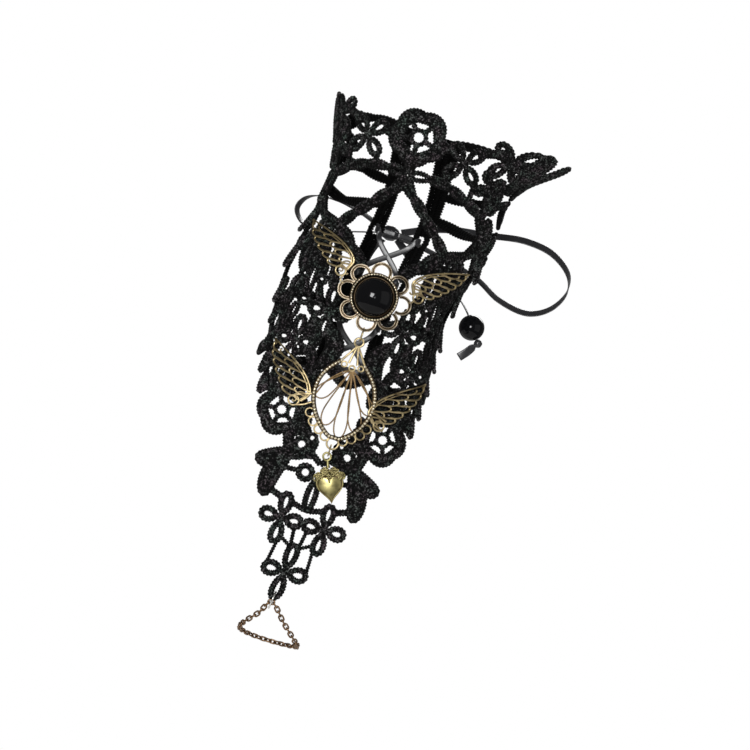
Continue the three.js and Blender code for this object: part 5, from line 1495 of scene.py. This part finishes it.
HEART_RIM = [
    # share of the outline and height, up the edge and over the rim
    (0.9, 0.0),
    (0.97, 0.05),
    (1.0, 0.3),
    (1.0, 0.8),
    (0.975, 1.0),
    (0.93, 1.1),
    (0.89, 1.0),
    (0.86, 0.45),
]
HEART_DOME = np.linspace(0.84, 0.02, 24)
HEART_PUFF = 1.7
HEART_SOFT = 0.16
GROOVE_AT = 0.875
CROWN_FLOWERS = [(-3.5, 3.9, 1.5), (-1.2, 5.4, 1.6), (1.9, 5.2, 1.6), (4.0, 3.6, 1.4), (0.2, 2.7, 1.4)]
CROWN_STAND = [(-3.4, 3.4), (0.2, 3.2), (3.6, 3.2)]
CROWN_LEAF = [(4.8, 2.3), (5.4, 3.2), (5.0, 4.5), (4.2, 4.9)]
BAIL_STEM = [(0, 6.6), (0, 7.8), (0, 9.3)]

outline = heart_line(HEART_SIDES)
rows = [np.column_stack([outline * scale, np.full(HEART_SIDES, height)]) for scale, height in HEART_RIM]
for scale in HEART_DOME:
    shape = outline * scale
    away = np.linalg.norm(shape[:, None] - (outline * HEART_DOME[0])[None], axis=-1) + 0.02
    soft_depth = np.mean(away**-3.0, axis=1) ** (-1 / 3)
    dome = 1 - 0.55 * ((shape[:, 0] / HEART_WIDE * 2.1) ** 2 + (shape[:, 1] / HEART_HIGH * 2.0) ** 2)
    puff = HEART_PUFF * dome * (1 - np.exp(-soft_depth / HEART_SOFT))
    rows.append(np.column_stack([shape, HEART_RIM[-1][1] + puff]))
faces = grid_faces(len(rows), HEART_SIDES)
made = mesh_of("heart_body", np.vstack(rows) * MM, faces, heart_gold)
settled("heart_body", made, on_heart, "heart_charm", "heart_brass")

# Under the crown flowers lies a dark bed: a plate for each flower, a wire over the gap at the cleft and a
# wire in the groove inside the rim, all painted shade.
crown, crown_bed = [], []
for x, y, radius in CROWN_FLOWERS:
    crown_bed.append(round_wire(x, y, 0.5 * radius, 0.55 * radius, 1.1, flat=0.5))
    for k in range(5):
        a = 2 * math.pi * (k + 0.25) / 5
        petal_x, petal_y = x + 0.68 * radius * math.cos(a), y + 0.68 * radius * math.sin(a)
        crown.append(round_wire(petal_x, petal_y, 0.3 * radius, 0.12 * radius, 1.75))
    crown.append(round_wire(x, y, 0.1 * radius, 0.12 * radius, 1.8))
crown_bed.append(bent_wire(CROWN_STAND, 0.8, lift=0.9))
crown_bed.append(wire_of(heart_line(72) * GROOVE_AT, 0.2, True, 0.85))
brass_wires("crown_bed", crown_bed, "heart_charm", dark_brass, "heart_brass", on_heart)
for side in (1, -1):
    crown.append(bent_wire([(side * x, y) for x, y in CROWN_LEAF], 0.26, lift=1.2))
crown.append(bent_wire(BAIL_STEM, (0.8, 0.55, 0.5), lift=1.1))
crown.append(round_wire(0, BAIL_AT, 1.35, 0.36, 1.0))
brass_wires("heart_crown", crown, "heart_charm", heart_gold, "heart_brass", on_heart, step=0.22)

# Finger loop: one length of fine dark bronze cable chain from the jump ring round the middle finger and
# back. Every link is an oval of wire, turned a quarter against its neighbours.
FINGER_BACK = [
    (-4.8, -19.4, -117.4),
    (-8.6, -16.6, -121.8),
    (-9.8, -10.6, -124.2),
    (-8.2, -3.8, -125.6),
    (-4.2, 0.4, -126.3),
    (1.0, 1.6, -126.5),
    (6.2, 0.2, -126.3),
    (10.4, -4.2, -125.8),
    (11.6, -10.8, -125),
    (9.9, -16.6, -123.1),
    (4.8, -19.4, -118.4),
]
LINK_WIRE = 0.62
LINK_LONG = 2.95
LINK_WIDE = 2.1
LINK_PITCH = LINK_LONG - 2 * LINK_WIRE
LINK_STEPS = 24
LINK_SIDES = 8
bronze = antique_metal("dark_bronze", (0.22, 0.135, 0.075), (0.05, 0.032, 0.018), 0.26, 0.48)

a = round_steps(LINK_STEPS)
stretch = (LINK_LONG - LINK_WIDE) / 2
reach = (LINK_WIDE - LINK_WIRE) / 2
middle_line = np.stack([0 * a, reach * np.cos(a), reach * np.sin(a) + np.sign(np.sin(a)) * stretch], -1)
out_line = np.stack([0 * a, np.cos(a), np.sin(a)], -1)
around = round_steps(LINK_SIDES)
link_rows = (
    middle_line[:, None, :]
    + out_line[:, None, :] * (np.cos(around) * LINK_WIRE / 2)[None, :, None]
    + np.array((1.0, 0, 0)) * (np.sin(around) * LINK_WIRE / 2)[None, :, None]
)
link_faces = grid_faces(LINK_STEPS, LINK_SIDES, joined=True, other_way=True)
link_mesh = mesh_of("chain_link", link_rows.reshape(-1, 3) * MM, link_faces, bronze)
link = bpy.data.objects.new("chain_link", link_mesh)

chained, taken, to_points, to_links, turn_links = making_tree(
    "cable_chain",
    {"Count": "Int", "Link": "Object"},
    "GeometryNodeCurveToPoints",
    "GeometryNodeInstanceOnPoints",
    "GeometryNodeRotateInstances",
)
link_form = new_node(chained, "GeometryNodeObjectInfo")
number = new_node(chained, "GeometryNodeInputIndex")
quarter = new_node(chained, "ShaderNodeCombineXYZ")
chained.links.new(math_node(chained, "MULTIPLY", number.outputs[0], math.pi / 2), quarter.inputs["Z"])
join(
    chained,
    (taken, "Count", to_points, "Count"),
    (taken, "Link", link_form, "Object"),
    (link_form, "Geometry", to_links, "Instance"),
    (to_points, "Rotation", to_links, "Rotation"),
    (quarter, 0, turn_links, "Rotation"),
)

chain_start = on_lace(0, -112.5, 3.1) / MM
chain_route = route_through([tuple(chain_start), *FINGER_BACK], 14, True)
chain_length = length_along(np.vstack([chain_route, chain_route[:1]]))[-1]
link_count = 2 * round(chain_length / LINK_PITCH / 2)
chain_line = line_of("chain", chain_route, True)
made = made_by(chained, chain_line, Count=link_count, Link=link, Finish=bronze)
bpy.data.objects.remove(link)
settled("finger_chain_links", made, lambda p: p * MM, "finger_chain", "bronze")
